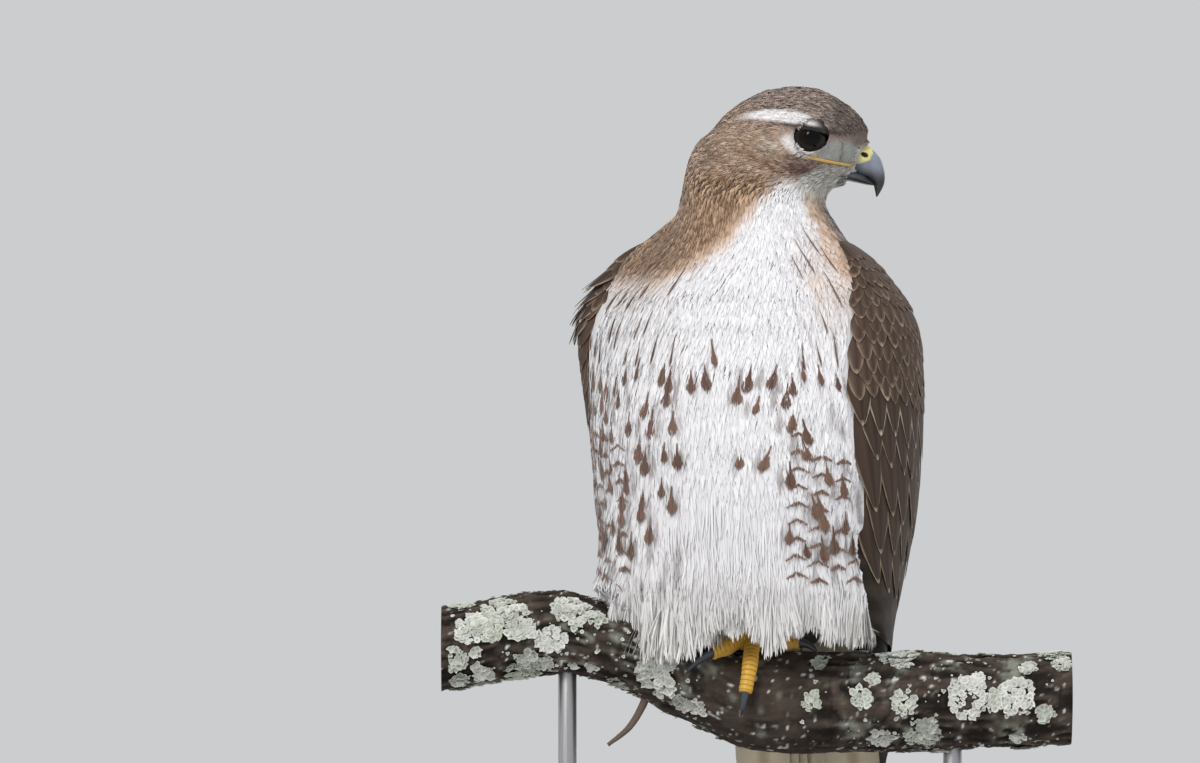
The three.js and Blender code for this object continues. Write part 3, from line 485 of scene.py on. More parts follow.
def tinted(points, core, edge, rng, spread=1.3, vary=0.12, shift=0.0):
    """Colours of vanes from their middle's and their edge's, a little different from vane to vane."""
    n, _, c = points.shape[:3]
    s = np.abs(np.linspace(-1, 1, c))[None, None, :, None] ** spread
    s = np.clip(s + np.broadcast_to(shift, n)[:, None, None, None], 0, 1)
    colours = core * (1 - s) + edge * s
    return colours * (1 + vary * (rng.random((n, 1, 1, 1)) * 2 - 1))


PIECE_LIMIT = 180000  # triangles


def coat_piece(name, material, parts):
    """Joined meshes of many vanes; each part is roots, points, length, width, tint and the rows' places."""
    points, faces, tints, vane, bake, start = [], [], [], [], [], 0
    for roots, p, length, width, tint, rows in parts:
        n, r, c = p.shape[:3]
        maps = vane_maps(roots, p, length, width, rows)
        points.append(p.reshape(-1, 3))
        faces.append(grid_faces(n, r, c) + start)
        tints.append(tint.reshape(-1, 3))
        vane.append(maps["vane"])
        bake.append(maps["OFBake"])
        start += n * r * c
    maps = {"vane": np.concatenate(vane), "OFBake": np.concatenate(bake)}
    return lay_mesh(name, np.concatenate(points), np.concatenate(faces), material,
                    np.concatenate(tints), maps)


def coat_bands(name, material, part):
    """One part of many vanes as several pieces, band above band, each small enough."""
    roots, points, length, width, tint, rows = part
    vane_faces = (points.shape[1] - 1) * (points.shape[2] - 1) * 2
    bands = math.ceil(len(roots) * vane_faces / PIECE_LIMIT)
    order = np.argsort(roots[:, 2], kind="stable")
    length, width = (np.broadcast_to(v, len(roots)) for v in (length, width))
    for k, chosen in enumerate(np.array_split(order, bands)):
        band = (roots[chosen], points[chosen], length[chosen], width[chosen], tint[chosen], rows)
        coat_piece(f"{name}_{k + 1}", material, [band])


# The skin

class Skin:
    """The finished skin's surface in the bird's frame: places on it, its normals and the nearest point."""

    def __init__(self, piece):
        mesh = piece.data
        mesh.calc_loop_triangles()
        self.points = points_of(piece)
        normal = np.zeros(self.points.size)
        mesh.vertex_normals.foreach_get("vector", normal)
        self.normals = turned(normal.reshape(-1, 3), CHEST_TURN)
        tri = np.zeros(len(mesh.loop_triangles) * 3, np.int32)
        mesh.loop_triangles.foreach_get("vertices", tri)
        self.faces = tri.reshape(-1, 3)
        a, b, c = (self.points[self.faces[:, k]] for k in range(3))
        self.areas = np.linalg.norm(np.cross(b - a, c - a), axis=1) / 2
        self.tree = BVHTree.FromPolygons(self.points.tolist(), self.faces.tolist())

    def scatter(self, spacing, seed, wanted):
        """Places about spacing apart wherever wanted(points, normals) is true."""
        rng = np.random.default_rng(seed)
        count = int(self.areas.sum() / spacing**2 * 5)
        chosen = rng.choice(len(self.faces), count, p=self.areas / self.areas.sum())
        u, v = rng.random((2, count, 1))
        u, v = np.where(u + v > 1, 1 - u, u), np.where(u + v > 1, 1 - v, v)
        weights = (1 - u - v, u, v)
        corners = self.faces[chosen]
        points = sum(w * self.points[corners[:, k]] for k, w in enumerate(weights))
        normals = unit(sum(w * self.normals[corners[:, k]] for k, w in enumerate(weights)))
        keep = wanted(points, normals)
        points, normals = points[keep], normals[keep]
        cells = np.floor(points / spacing).astype(np.int64)
        code = (cells[:, 0] * 4096 + cells[:, 1]) * 4096 + cells[:, 2]
        _, first = np.unique(code, return_index=True)
        return points[first], normals[first]

    def nearest(self, points):
        found = [self.tree.find_nearest(Vector(p)) for p in np.asarray(points, float)]
        return np.array([f[0] for f in found]), np.array([f[1] for f in found])


SKIN = {}


def pick(piece):
    """Makes a piece the one selected and active object."""
    for other in bpy.context.scene.objects:
        other.select_set(False)
    piece.hide_set(False)
    piece.select_set(True)
    bpy.context.view_layer.objects.active = piece


def copy_of(node):
    return linked(node + "_copy", frame["nodes"][node].data.copy())


def modified(piece, kind, **settings):
    """Adds a modifier and applies it."""
    pick(piece)
    modifier = piece.modifiers.new(kind.title(), kind)
    for name, value in settings.items():
        setattr(modifier, name, value)
    bpy.ops.object.modifier_apply(modifier=modifier.name)


def primitive(kind, name, **settings):
    """Adds one of the modeller's primitives with its place in its mesh."""
    bpy.ops.object.select_all(action="DESELECT")
    getattr(bpy.ops.mesh, f"primitive_{kind}_add")(**settings)
    made = bpy.context.object
    made.name = name
    bpy.ops.object.transform_apply(location=True, rotation=True, scale=True)
    return made


def cut_away(piece, place, normal):
    """Removes what lies on the normal's side of a plane of the shared frame, and closes the cut."""
    pick(piece)
    bpy.ops.object.mode_set(mode="EDIT")
    bpy.ops.mesh.select_all(action="SELECT")
    bpy.ops.mesh.remove_doubles(threshold=0.00001)
    bpy.ops.mesh.bisect(plane_co=place, plane_no=normal, use_fill=True, clear_outer=True)
    bpy.ops.object.mode_set(mode="OBJECT")


FLESH = ("head", "neck", "torso", "leg_left", "leg_right", "undertail")
WING_CUT = 12  # height over the branch's top below which the wings' nodes stay out of the skin


class HAWK_OT_skin(bpy.types.Operator):
    """Makes one seamless skin inside the nodes of flesh and the wings' upper parts"""

    bl_idname = "hawk.skin"
    bl_label = "Skin"

    def execute(self, context):
        sizes = context.scene.hawk_sizes
        copies = [copy_of(name) for name in FLESH + ("wing_left", "wing_right")]
        for wing in copies[-2:]:
            cut_away(wing, (0, 0, BODY_PLACE[2] * MM + WING_CUT * MM), (0, 0, -1))
        copies.append(self.filler())
        pick(copies[0])
        for piece in copies:
            piece.select_set(True)
        bpy.ops.object.join()
        skin = bpy.context.object
        skin.name = "skin"
        skin.data.materials.clear()
        modified(skin, "REMESH", mode="VOXEL", voxel_size=sizes.skin_voxel)
        self.keep_outer(skin)
        modified(skin, "SMOOTH", factor=0.6, iterations=sizes.skin_smoothing)
        modified(skin, "DISPLACE", strength=-sizes.coat_depth, mid_level=0)
        self.calm(skin)
        modified(skin, "SMOOTH", factor=0.6, iterations=80, vertex_group="calm")
        self.sculpt(skin)
        modified(skin, "SMOOTH", factor=0.5, iterations=4)
        skin.data.polygons.foreach_set("use_smooth", np.ones(len(skin.data.polygons), bool))
        skin.data.materials.append(skin_material())
        SKIN["surface"] = Skin(skin)
        points = SKIN["surface"].points
        core, edge = markings(points)
        colour(skin.data, (core + edge) / 2)
        map_points(skin.data, "OFBake", unwrap(points))
        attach(skin, "root")
        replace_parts(skin, *FLESH)
        return {"FINISHED"}

    def filler(self):
        """A plain form of the body that fills the beds and steps between the nodes of flesh."""
        z = np.linspace(62, 246, 60)[:, None]
        t = np.linspace(-math.pi, math.pi, 96, endpoint=False)[None]
        degrees = np.degrees(t)
        shrug = smooth_rows(WING, 7, np.minimum(z, 226)) * ramp(z, 240, 224)
        shrug = shrug * ramp(-degrees, 46, 70) * ramp(degrees, -172, -140)
        wide, deep = smooth_rows(BODY, 2, z) - 1 + shrug, smooth_rows(BODY, 3, z) - 1
        points, faces = closed(body_form(t, z, wide, deep))
        mesh = bpy.data.meshes.new("filler")
        mesh.from_pydata(placed(points).tolist(), [], [f for part in faces for f in part.tolist()])
        return linked("filler", mesh)

    def keep_outer(self, skin):
        """Removes the hollows' inner surfaces: only what hangs together with the crown stays."""
        pick(skin)
        mesh = skin.data
        for kind in (mesh.vertices, mesh.edges, mesh.polygons):
            kind.foreach_set("select", np.zeros(len(kind), bool))
        top = max(range(len(mesh.vertices)), key=lambda k: mesh.vertices[k].co.z)
        mesh.vertices[top].select = True
        bpy.context.tool_settings.mesh_select_mode = (True, False, False)
        bpy.ops.object.mode_set(mode="EDIT")
        bpy.ops.mesh.select_linked()
        bpy.ops.mesh.select_all(action="INVERT")
        bpy.ops.mesh.delete(type="VERT")
        bpy.ops.object.mode_set(mode="OBJECT")

    def calm(self, skin):
        """Marks the nape, the brows and the hem, where the solids' steps are smoothed away."""
        p = points_of(skin)
        h = to_head(p)
        nape = ramp(h[:, 0], -24, -34) * ramp(p[:, 2], 240, 252)
        brow = np.exp(-(((h[:, 0] + 3) / 13) ** 2) - ((h[:, 2] - 7) / 9) ** 2) * ramp(np.abs(h[:, 1]), 8, 14)
        weight = np.maximum.reduce([nape, ramp(p[:, 2], 46, 34), 0.6 * brow])
        group = skin.vertex_groups.new(name="calm")
        for level in np.linspace(0.1, 1, 10):
            chosen = np.flatnonzero(np.abs(weight - level) <= 0.05)
            group.add(chosen.tolist(), float(level), "REPLACE")

    def sculpt(self, skin):
        """Gathers the hem under the plumes, fills the crown, raises the brows and sinks the eyes' hollows."""
        p = points_of(skin)
        low = ramp(p[:, 2], 44, 8)[:, None]
        p = p - low * (p - (0, 12, 0)) * (0.07, 0.07, 0)
        p[:, 2] = np.where(p[:, 2] < 12, 12 + (p[:, 2] - 12) * 0.3, p[:, 2])
        h = to_head(p)
        crown = 3.0 * ramp(h[:, 2], -16, 16) * ramp(h[:, 0], -84, -44) * (1 - 0.3 * ramp(h[:, 0], 0, 20))
        h = h + unit((h + (12, 0, 6)) * (0.8, 0.3, 1)) * crown[:, None]
        x, y, z = h[:, 0], h[:, 1], h[:, 2]
        outer = ramp(np.abs(y), 8, 15)
        line = np.interp(x, (-20, -8, 4, 14, 22), (10.5, 8.4, 6.6, 4.2, 2.0))
        ridge = np.exp(-(((z - line) / 3.4) ** 2)) * ramp(x, -24, -10) * ramp(x, 26, 17) * outer
        hollow = np.exp(-(((x - 1.5) / 9) ** 2) - ((z + 1.6) / 4.6) ** 2) * outer
        h[:, 1] = y + np.sign(y) * (2.8 * ridge - 1.2 * hollow)
        h[:, 2] = z - 0.8 * ridge
        move_points(skin, from_head(h))


# Markings, the same for skin and coat

def tone(name):
    return np.array(getattr(bpy.context.scene.hawk_colours, name), float)


def around(points):
    """Degrees round the body from its front, the bird's left positive."""
    middle = smooth_rows(BODY, 1, points[..., 2])
    return np.degrees(np.arctan2(points[..., 0], middle - points[..., 1]))


def body_form(t, z, wide, deep):
    """Places at angles and heights on rings of some half width and half depth round the body's middle."""
    return np.stack([wide * np.sin(t), smooth_rows(BODY, 1, z) - deep * np.cos(t), z + 0 * t], -1)


# The white bib between the tawny sides of the neck: heights, and its edges in degrees from the front
BIB = {"z": (175, 190, 200, 212, 227, 240, 250), "right": (-95, -58, -32, -13, 8, 26, 36),
       "left": (56, 60, 63, 66, 70, 68, 64)}
# How the marks of the breast lean: degrees from the front, and how far they go to the bird's left for each
# millimetre down
LEAN = ((-60, -47, -26, -12, -4, 5, 11, 18, 25, 37, 46, 60),
        (0, 0, -0.2, -0.05, 0.15, 0.28, -0.1, -0.35, -0.15, 0.3, 0.25, 0.1))
# The virtual feathers that carry the marks: their spacing, the body's radius there, a mark's length
SPOT = {"across": 10.6, "down": 15.5, "radius": 86, "long": 13.5}
BAR = {"across": 13.5, "down": 9.4}


def spot_draws(row, column):
    """For virtual feathers: the mark's lower end, its middle across and in degrees, how far it is only a thin
    shaft line, its size and strength, and whether it is there."""
    draw = [hashed(row, column, key) for key in range(3, 8)]
    low = (row + 0.95 * (draw[1] - 0.5)) * SPOT["down"]
    middle = (column + 0.5 + (row % 2) * 0.5 + 0.75 * (draw[0] - 0.5)) * SPOT["across"]
    centre = np.degrees(middle / SPOT["radius"])
    thin = np.maximum(ramp(low, 136, 152) * ramp(np.abs(centre - 16), 8, 20), ramp(low, 158, 166))
    return low, middle, centre, thin, 0.72 + 0.6 * draw[2], draw[3], draw[4] < spot_share(centre, low + 8)


def spots(points):
    """Teardrops of the belly band and thin shaft lines above them, each on its own feather, from 0 to 1."""
    degrees, z = around(points), points[..., 2]
    across = np.radians(degrees) * SPOT["radius"]
    best = np.zeros(len(points))
    for up in (-1, 0, 1):
        for beside in (-1, 0, 1):
            row = np.floor(z / SPOT["down"]) + up
            column = np.floor(across / SPOT["across"] - (row % 2) * 0.5) + beside
            low, middle, centre, thin, size, strength, there = spot_draws(row, column)
            long = (SPOT["long"] + 6 * thin) * size
            a = (low + long - z) / long
            x = across - middle - np.interp(centre, *LEAN) * (low - z)
            drop = np.sin(np.pi * np.clip(a, 0, 1) ** 2.1)
            half = (1 - thin) * 2.15 * size * drop + 0.3 + 0.35 * thin * np.sin(np.pi * np.clip(a, 0, 1))
            inside = ramp(np.abs(a - 0.5), 0.52, 0.47) * ramp(np.abs(x), half + 0.35, half - 0.25)
            share = (0.72 + 0.28 * strength) * (1 - 0.35 * thin)
            best = np.maximum(best, inside * share * there)
    return best


def spot_share(degrees, z):
    """How likely a feather of the front carries a mark."""
    middle = 0.62 * ramp(z, 172, 156) * ramp(z, 84, 104) * (1 - 0.5 * ramp(z, 120, 95))
    clean = 1 - 0.9 * np.exp(-(((degrees + 9) / 8) ** 2)) * ramp(z, 120, 90)
    left = ramp(degrees, -10, -22) * (0.9 * ramp(z, 178, 160) * ramp(z, 30, 48))
    right = ramp(degrees, 24, 36) * (0.8 * ramp(z, 178, 160) * ramp(z, 30, 48))
    sides = np.maximum(ramp(degrees, -18, -34), ramp(degrees, 26, 38))
    lines = 0.7 * ramp(z, 158, 170) * ramp(z, 232, 215) * sides
    return np.clip(np.maximum.reduce([middle * clean, left, right, lines]), 0, 0.95)


def bar_draws(row, column):
    """For virtual feathers of the flanks: the bar's half width and half thickness, and the draw that may
    leave it out."""
    return 3.5 + 3.6 * hashed(row, column, 5), 0.8 + 0.7 * hashed(row, column, 2), hashed(row, column, 7)


def flank(degrees, z):
    """How far a place lies on the barred flanks."""
    right = ramp(degrees, -26, -40) * ramp(z, 30, 48) * ramp(z, 128, 108)
    left = ramp(degrees, 26, 36) * ramp(z, 30, 48) * ramp(z, 130, 112)
    return right + left


def bars(points):
    """Chevrons across the flanks' feathers, from 0 to 1."""
    degrees, z = around(points), points[..., 2]
    across = np.radians(degrees) * SPOT["radius"]
    column = np.floor(across / BAR["across"])
    x = np.abs(across - (column + 0.5) * BAR["across"] + 3 * (hashed(column, 9) - 0.5))
    phase = z + 0.5 * x + BAR["down"] * hashed(column, 8)
    row = np.floor(phase / BAR["down"])
    off = np.abs(phase - (row + 0.5) * BAR["down"])
    wide, thick, draw = bar_draws(row, column)
    thick = thick - 0.06 * x
    inside = 0.85 * ramp(off, thick + 0.4, thick - 0.4) * (draw < 0.8) * ramp(x, wide + 0.4, wide - 0.8)
    return inside * flank(degrees, z)


def markings(points):
    """The colours of a feather's middle and of its edge at places on the body."""
    p = np.asarray(points, float)
    z = p[..., 2]
    streaky = lumps(p * (1, 1, 0.3), 4.0, 1)
    degrees = around(p) + 5 * streaky + 5 * lumps(p * (1, 1, 0.35), 1.3, 2)
    white = mix(tone("white"), tone("cream"), 0.35 * ramp(z, 50, 6) + 0.12 * np.clip(streaky, 0, 1))
    core, edge = white * 0.97, white.copy()
    share = 0.6 * np.maximum(spots(p), bars(p))
    core, edge = (mix(c, tone("spot"), share) for c in (core, edge))
    wash = np.exp(-(((z - 204) / 14) ** 2)) * ramp(degrees, -24, -46) * ramp(degrees, -100, -75)
    wash = np.maximum(wash, 0.7 * np.exp(-(((z - 196) / 20) ** 2)) * ramp(degrees, 40, 56))
    core, edge = (mix(c, tone("wash"), 0.8 * wash * (0.7 + 0.3 * streaky)) for c in (core, edge))
    right = np.interp(z, BIB["z"], BIB["right"])
    left = np.interp(z, BIB["z"], BIB["left"])
    outside = 1 - ramp(degrees, right - 10, right + 9) * ramp(degrees, left + 4, left - 6)
    outside = outside * ramp(z, 192, 206)
    far = np.maximum(right - degrees, degrees - left)
    side_core = mix(tone("wash"), tone("side_dark"), ramp(far, 0, 22))
    side_edge = mix(tone("wash"), tone("side_pale"), ramp(far, 0, 22))
    core, edge = mix(core, side_core, outside), mix(edge, side_edge, outside)
    back = ramp(np.abs(degrees), 74, 92) * ramp(z, 176, 190) * ramp(z, 250, 228)
    core, edge = mix(core, tone("wing_dark"), back), mix(edge, tone("mantle_edge"), back)
    rear = ramp(np.abs(degrees), 100, 112) * ramp(z, 192, 172)
    core, edge = mix(core, tone("wing_dark"), rear), mix(edge, tone("wing_mid"), rear)
    bib = ramp(degrees, right - 3, right + 3) * ramp(degrees, left, left - 6) * ramp(z, 258, 246)
    head = ramp(z, 236, 250) * (1 - bib)
    head_core, head_edge = head_markings(p)
    return mix(core, head_core, head), mix(edge, head_edge, head)


def head_markings(points):
    h = to_head(points)
    x, y, z = h[..., 0], np.abs(h[..., 1]), h[..., 2]
    fine = lumps(points, 2.6, 5)
    x = x + 0.9 * fine
    z = z + 0.6 * lumps(points, 3.1, 6)
    core = np.broadcast_to(tone("crown_dark"), points.shape).copy()
    edge = np.broadcast_to(tone("crown_pale"), points.shape).copy()

    def over(core_name, edge_name, share):
        nonlocal core, edge
        core, edge = mix(core, tone(core_name), share), mix(edge, tone(edge_name), share)

    outer = ramp(y, 12, 19)
    over("nape_dark", "nape_pale", ramp(x, -26, -44) * ramp(z, -34, -10))
    over("side_dark", "side_pale", ramp(z, -14, -24) * ramp(x, 6, -6))
    ear = np.exp(-(((x + 24) / 15) ** 2) - ((z + 7) / 11) ** 2) * outer
    over("ear_dark", "ear_pale", np.clip(1.4 * ear, 0, 1))
    pale = np.exp(-(((x + 21) / 7) ** 2) - ((z + 5) / 5) ** 2) * outer
    over("throat", "throat", 0.35 * pale)
    over("forehead_dark", "forehead_pale", ramp(x, 6, 17) * ramp(z, -3, 2))
    line = np.interp(x, (-46, -33, -20, -8, 0, 6, 10), (9.5, 11.1, 11.4, 10.1, 8.2, 6.0, 4.6))
    half = np.interp(x, (-46, -33, -20, -8, 0, 6, 10), (0.6, 1.7, 3.3, 3.7, 2.6, 1.6, 0.6))
    brow = ramp(np.abs(z - line), half + 0.9, half - 0.7) * ramp(x, -50, -26) * ramp(x, 11, 7)
    over("brow_pale", "brow_pale", brow * outer)
    shadow_line = np.interp(x, (-24, -14, -6, 0, 14), (7.6, 6.6, 5.4, 4.8, 1.8))
    shadow = np.exp(-(((z - shadow_line) / 1.1) ** 2)) * ramp(x, -24, -12) * ramp(x, 18, 12)
    over("dark", "dark", 0.85 * shadow * ramp(y, 14, 18))
    malar = np.exp(-(((x + 4.5 + 0.35 * (z + 18)) / 8.5) ** 2) - ((z + 18) / 6.0) ** 2)
    trail = np.exp(-(((x + 15 + 0.3 * (z + 30)) / 4.5) ** 2) - ((z + 31) / 8) ** 2)
    over("malar", "malar_edge", np.clip(1.15 * malar + 0.85 * trail, 0, 1) * outer)
    ring = np.sqrt((x / 9.2) ** 2 + (z / 7.0) ** 2)
    over("brow_pale", "brow_pale", 0.8 * ramp(ring, 1.8, 1.35) * ramp(z, 3, -2) * ramp(x, 11, 0) * outer)
    lores = ramp(x, 3, 8) * ramp(z, -1, -5) * ramp(z, -15.5, -12.5)
    over("lore", "lore", lores)
    over("dark", "dark", 0.55 * lores * np.exp(-(((x - 17.2) / 0.9) ** 2)))
    over("forehead_dark", "forehead_pale", ramp(x, 21, 25) * ramp(z, -6.5, -3.5))
    throat_line = np.interp(-z, (17, 21, 27, 34, 42), (6, -3, -11, -15, -18))
    throat = ramp(x, throat_line - 3, throat_line + 3) * ramp(z, -14.5, -18)
    inner = ramp(y, 20, 10) * ramp(z, -18, -26) * ramp(x, -22, -12)
    over("throat_dark", "throat", np.maximum(throat, inner))
    return core, edge


def lie(points, normals):
    """The way that the coat lies: down the body, back from the bill over the head and round the eyes."""
    p = np.asarray(points, float)
    down = np.zeros_like(p)
    down[..., 2] = -1
    down[..., 0] = 0.0022 * p[..., 0] * ramp(p[..., 2], 120, 20)
    h = to_head(p)
    swept = unit((h - (40.0, 0, -6.0)) * (1, 1, 0.85))
    near_eye = ramp(eye_ring(h), 2.1, 1.2) * (np.abs(h[..., 0]) < 40)
    tall = h[..., 2]
    swept[..., 2] += near_eye * np.where(tall > 0, 0.05, 0.8) * np.tanh(tall / 2.5)
    way = mix(down, turned(swept, HEAD_TURN), ramp(p[..., 2], 236, 262))
    way = way + 0.16 * np.stack([lumps(p, 14, k) for k in (21, 22, 23)], -1)
    return unit(way - normals * dot(way, normals))


# The coat of body and head

def wing_front(points):
    """Degrees by which a place lies behind the front edge of the wing on its side; negative is in front."""
    degrees, z = around(points), points[..., 2]
    return np.where(degrees > 0, degrees - smooth_rows(WING, 4, z), -degrees - smooth_rows(WING, 5, z))


def lid_top(x):
    """How high over the eye's middle the lids' straight upper edge is, at places ahead of it."""
    return 5.4 - 0.19 * (x + 7.5)


def bare(points):
    """Places that carry no feathers: the eyes, the bill and the mouth's corner."""
    h = to_head(points)
    upper = 5.0 - 0.24 * (h[..., 0] - 1.2 + 7.5)
    bill = (h[..., 0] > 27.0) & (h[..., 2] < -3.2)
    return (eye_ring(h) < 1.0) & (h[..., 2] < upper) | bill


def on_front(points, normals):
    z = points[..., 2]
    return (wing_front(points) < 7) & (z > 36) & (z < 240) & (normals[..., 2] > -0.55)


# Where the hem's plumes end: degrees from the front, and height over the branch's top
HEM = ((-100, -70, -50, -30, -16, -6, 3, 15, 20, 23, 27, 36, 46, 60, 95),
       (6, -4, -10, -7, 0, 8, 13, 13, 4, -4, 6, 11, 7, 3, 6))


def on_hem(points, normals):
    z = points[..., 2]
    draw = hashed(np.round(points[..., 0] * 7), np.round(z * 7), 3)
    clear = ramp(np.abs(around(points) - 4), 34, 18)
    high = 42 + (18 + 44 * clear) * draw**1.5
    return (wing_front(points) < 9) & (z > 14) & (z < high) & (normals[..., 2] > -0.6)


def on_upper_back(points, normals):
    z = points[..., 2]
    degrees = np.abs(around(points))
    return ((degrees > 145) & (z > 150) | (degrees > 60) & (z > 202)) & (z < 240)


def on_neck(points, normals):
    z = points[..., 2]
    return (z >= 228) & (z < 257) & ~bare(points)


def eye_ring(h):
    """How far a place of the head's frame is from the eye on its side; the lids' edge is at 1."""
    ring = np.sqrt(((h[..., 0] - 2.1) / 10.4) ** 2 + (h[..., 2] / 7.0) ** 2)
    return np.where(np.abs(h[..., 1]) > 12, ring, 9)


def on_head(points, normals):
    h = to_head(points)
    near = (eye_ring(h) < 1.45) | ((h[..., 0] > 6) & (h[..., 2] < 0) & (h[..., 2] > -14))
    return (points[..., 2] >= 254) & ~bare(points) & ~near


def on_face(points, normals):
    """The lores and the skin round the eyes, where the feathers are as fine as hair."""
    h = to_head(points)
    lores = (h[..., 0] > 1) & (h[..., 2] < 3) & (h[..., 2] > -17) & (points[..., 2] > 252)
    return (lores | (eye_ring(h) < 1.75)) & ~bare(points)


def front_part(seed, sizes):
    roots, normals = SKIN["surface"].scatter(sizes.breast_spacing / MM, seed, on_front)
    z = roots[:, 2]
    rng = np.random.default_rng(seed)
    length = (13 + 7 * ramp(z, 225, 150) + 6 * ramp(z, 100, 50)) * (0.75 + 0.5 * rng.random(len(z)))
    width = (2.2 + 0.7 * ramp(z, 220, 160) - 0.9 * ramp(z, 110, 60)) * (0.8 + 0.4 * rng.random(len(z)))
    return grown(roots, normals, length, width, rng, rows=(0, 0.45, 0.8, 1), columns=3, lift=0.035, point=0.9,
                 sway=0.2)


def hem_part(seed, sizes):
    """The long silky plumes that hang over the branch."""
    roots, normals = SKIN["surface"].scatter(sizes.hem_spacing / MM, seed, on_hem)
    rng = np.random.default_rng(seed)
    z = roots[:, 2]
    strand = 4.5 * lumps(roots * (1, 1, 0.2), 5, 31) + 6 * (rng.random(len(z)) - 0.5)
    low = np.interp(around(roots), *HEM) + strand
    length = np.clip(z - low, 10, 42) * (0.6 + 0.43 * rng.random(len(z)) ** 0.7)
    width = 0.65 + 0.45 * rng.random(len(z))
    lift = 0.02 + 0.03 * rng.random(len(z))
    return grown(roots, normals, length, width, rng, rows=(0, 0.3, 0.55, 0.8, 1), columns=3, lift=lift,
                 point=1.0, fray=0.4, sway=0.2, waist=0.45, sink=0.3, camber=0.02, hang=20)


def grown(roots, normals, length, width, rng, rows=ROWS_BLADE, vary=0.08, streaks=0.0, hang=4, **shape):
    """Blades on the skin with their markings, ready for coat_piece."""
    lines = draped(roots, normals, length, rows, hang)
    points = blades(lines, length, width, rng, rows=rows, **shape)
    flat = points.reshape(-1, 3)
    core, edge = markings(flat)
    shift = streaks * (0.7 * (rng.random(len(roots)) - 0.5) + 0.8 * lumps(roots, 1.7, 41))
    tint = tinted(points, core.reshape(points.shape), edge.reshape(points.shape), rng, vary=vary, shift=shift)
    return roots, points, length, width, tint, rows


def on_skin(degrees, z):
    """The nearest places of the skin to places given as degrees from the front and height."""
    guess = body_form(np.radians(degrees), z, smooth_rows(BODY, 2, z), smooth_rows(BODY, 3, z))
    return SKIN["surface"].nearest(guess)


def in_front(degrees, z):
    """Whether a mark lies clear of the wings' front edges."""
    return (degrees < smooth_rows(WING, 4, z) - 1) & (-degrees < smooth_rows(WING, 5, z) - 1)


THREE_ACROSS = np.array([-1.0, 0, 1.0])[None, None, :, None]


def strands(degrees, z, lean, length, width, height, share, rng):
    """Fine dark hairs laid on the coat from their upper ends down, as a part for coat_piece; a larger share
    makes a hair paler."""
    tint = mix(tone("spot"), tone("spot_edge"), np.clip(share, 0, 1))
    rows = np.array([0, 0.3, 0.7, 1.0])
    length, lean = np.maximum(length, 0.4)[:, None], lean[:, None]
    at_z = z[:, None] - length * rows
    at_degrees = degrees[:, None] + np.degrees(lean * length * rows / SPOT["radius"])
    flat, ups = on_skin(at_degrees.ravel(), at_z.ravel())
    flat, ups = flat.reshape(at_z.shape + (3,)), ups.reshape(at_z.shape + (3,))
    side = unit(np.cross(ups, (flat[:, -1] - flat[:, 0])[:, None]))
    half = (width[:, None] / 2 * np.array([0.4, 1, 0.9, 0.1]))[:, :, None, None]
    rise = height[:, None, None, None] + 0.15 * rows[None, :, None, None] - 0.12 * THREE_ACROSS**2
    points = flat[:, :, None] + side[:, :, None] * THREE_ACROSS * half + ups[:, :, None] * rise
    tint = np.broadcast_to(tint[:, None, None], points.shape) * (0.85 + 0.3 * rng.random((len(z), 1, 1, 1)))
    return flat[:, 0], points, length[:, 0], width, tint, rows


def teardrops(rng):
    """The dark marks where spots() has them, each a bundle of fine hairs that fills a teardrop."""
    column, row = (v.ravel().astype(float) for v in np.meshgrid(np.arange(-16, 16), np.arange(1, 16)))
    low, _, centre, thin, size, strength, there = spot_draws(row, column)
    keep = there & in_front(centre, low) & (low > 46)
    low, centre, thin, size, strength = (v[keep] for v in (low, centre, thin, size, strength))
    long = (SPOT["long"] + 2 * thin) * size
    wide = (1 - thin) * 2.2 * size + 0.35
    lean = np.interp(centre, *LEAN) + 0.1 * (rng.random(len(low)) - 0.5)
    count = 12
    t = np.linspace(0, 1, 50)
    drop = np.maximum(np.sin(np.pi * t**2.1), 0.12)
    parts = []
    for k in range(count):
        off = (k + 0.5) / count * 2 - 1 + 0.12 * (rng.random(len(low)) - 0.5)
        inside = drop[None] >= np.abs(off)[:, None]
        start = t[inside.argmax(1)] - 0.05 * rng.random(len(low))
        end = t[len(t) - 1 - inside[:, ::-1].argmax(1)] + 0.05 * (rng.random(len(low)) - 0.5)
        above = (1 - start) * long
        degrees = centre + np.degrees((off * wide - lean * above) / SPOT["radius"])
        share = 0.5 * np.abs(off) ** 2 + 0.45 * (1 - strength) + 0.15 * rng.random(len(low))
        height = 0.75 + 0.75 * rng.random(len(low)) + 0.1 * thin + 0.9 * ramp(low, 100, 60)
        width = 0.34 + 0.16 * wide * (0.8 + 0.4 * rng.random(len(low)))
        parts.append(strands(degrees, low + above, lean, (end - start) * long, width, height, share, rng))
    return parts


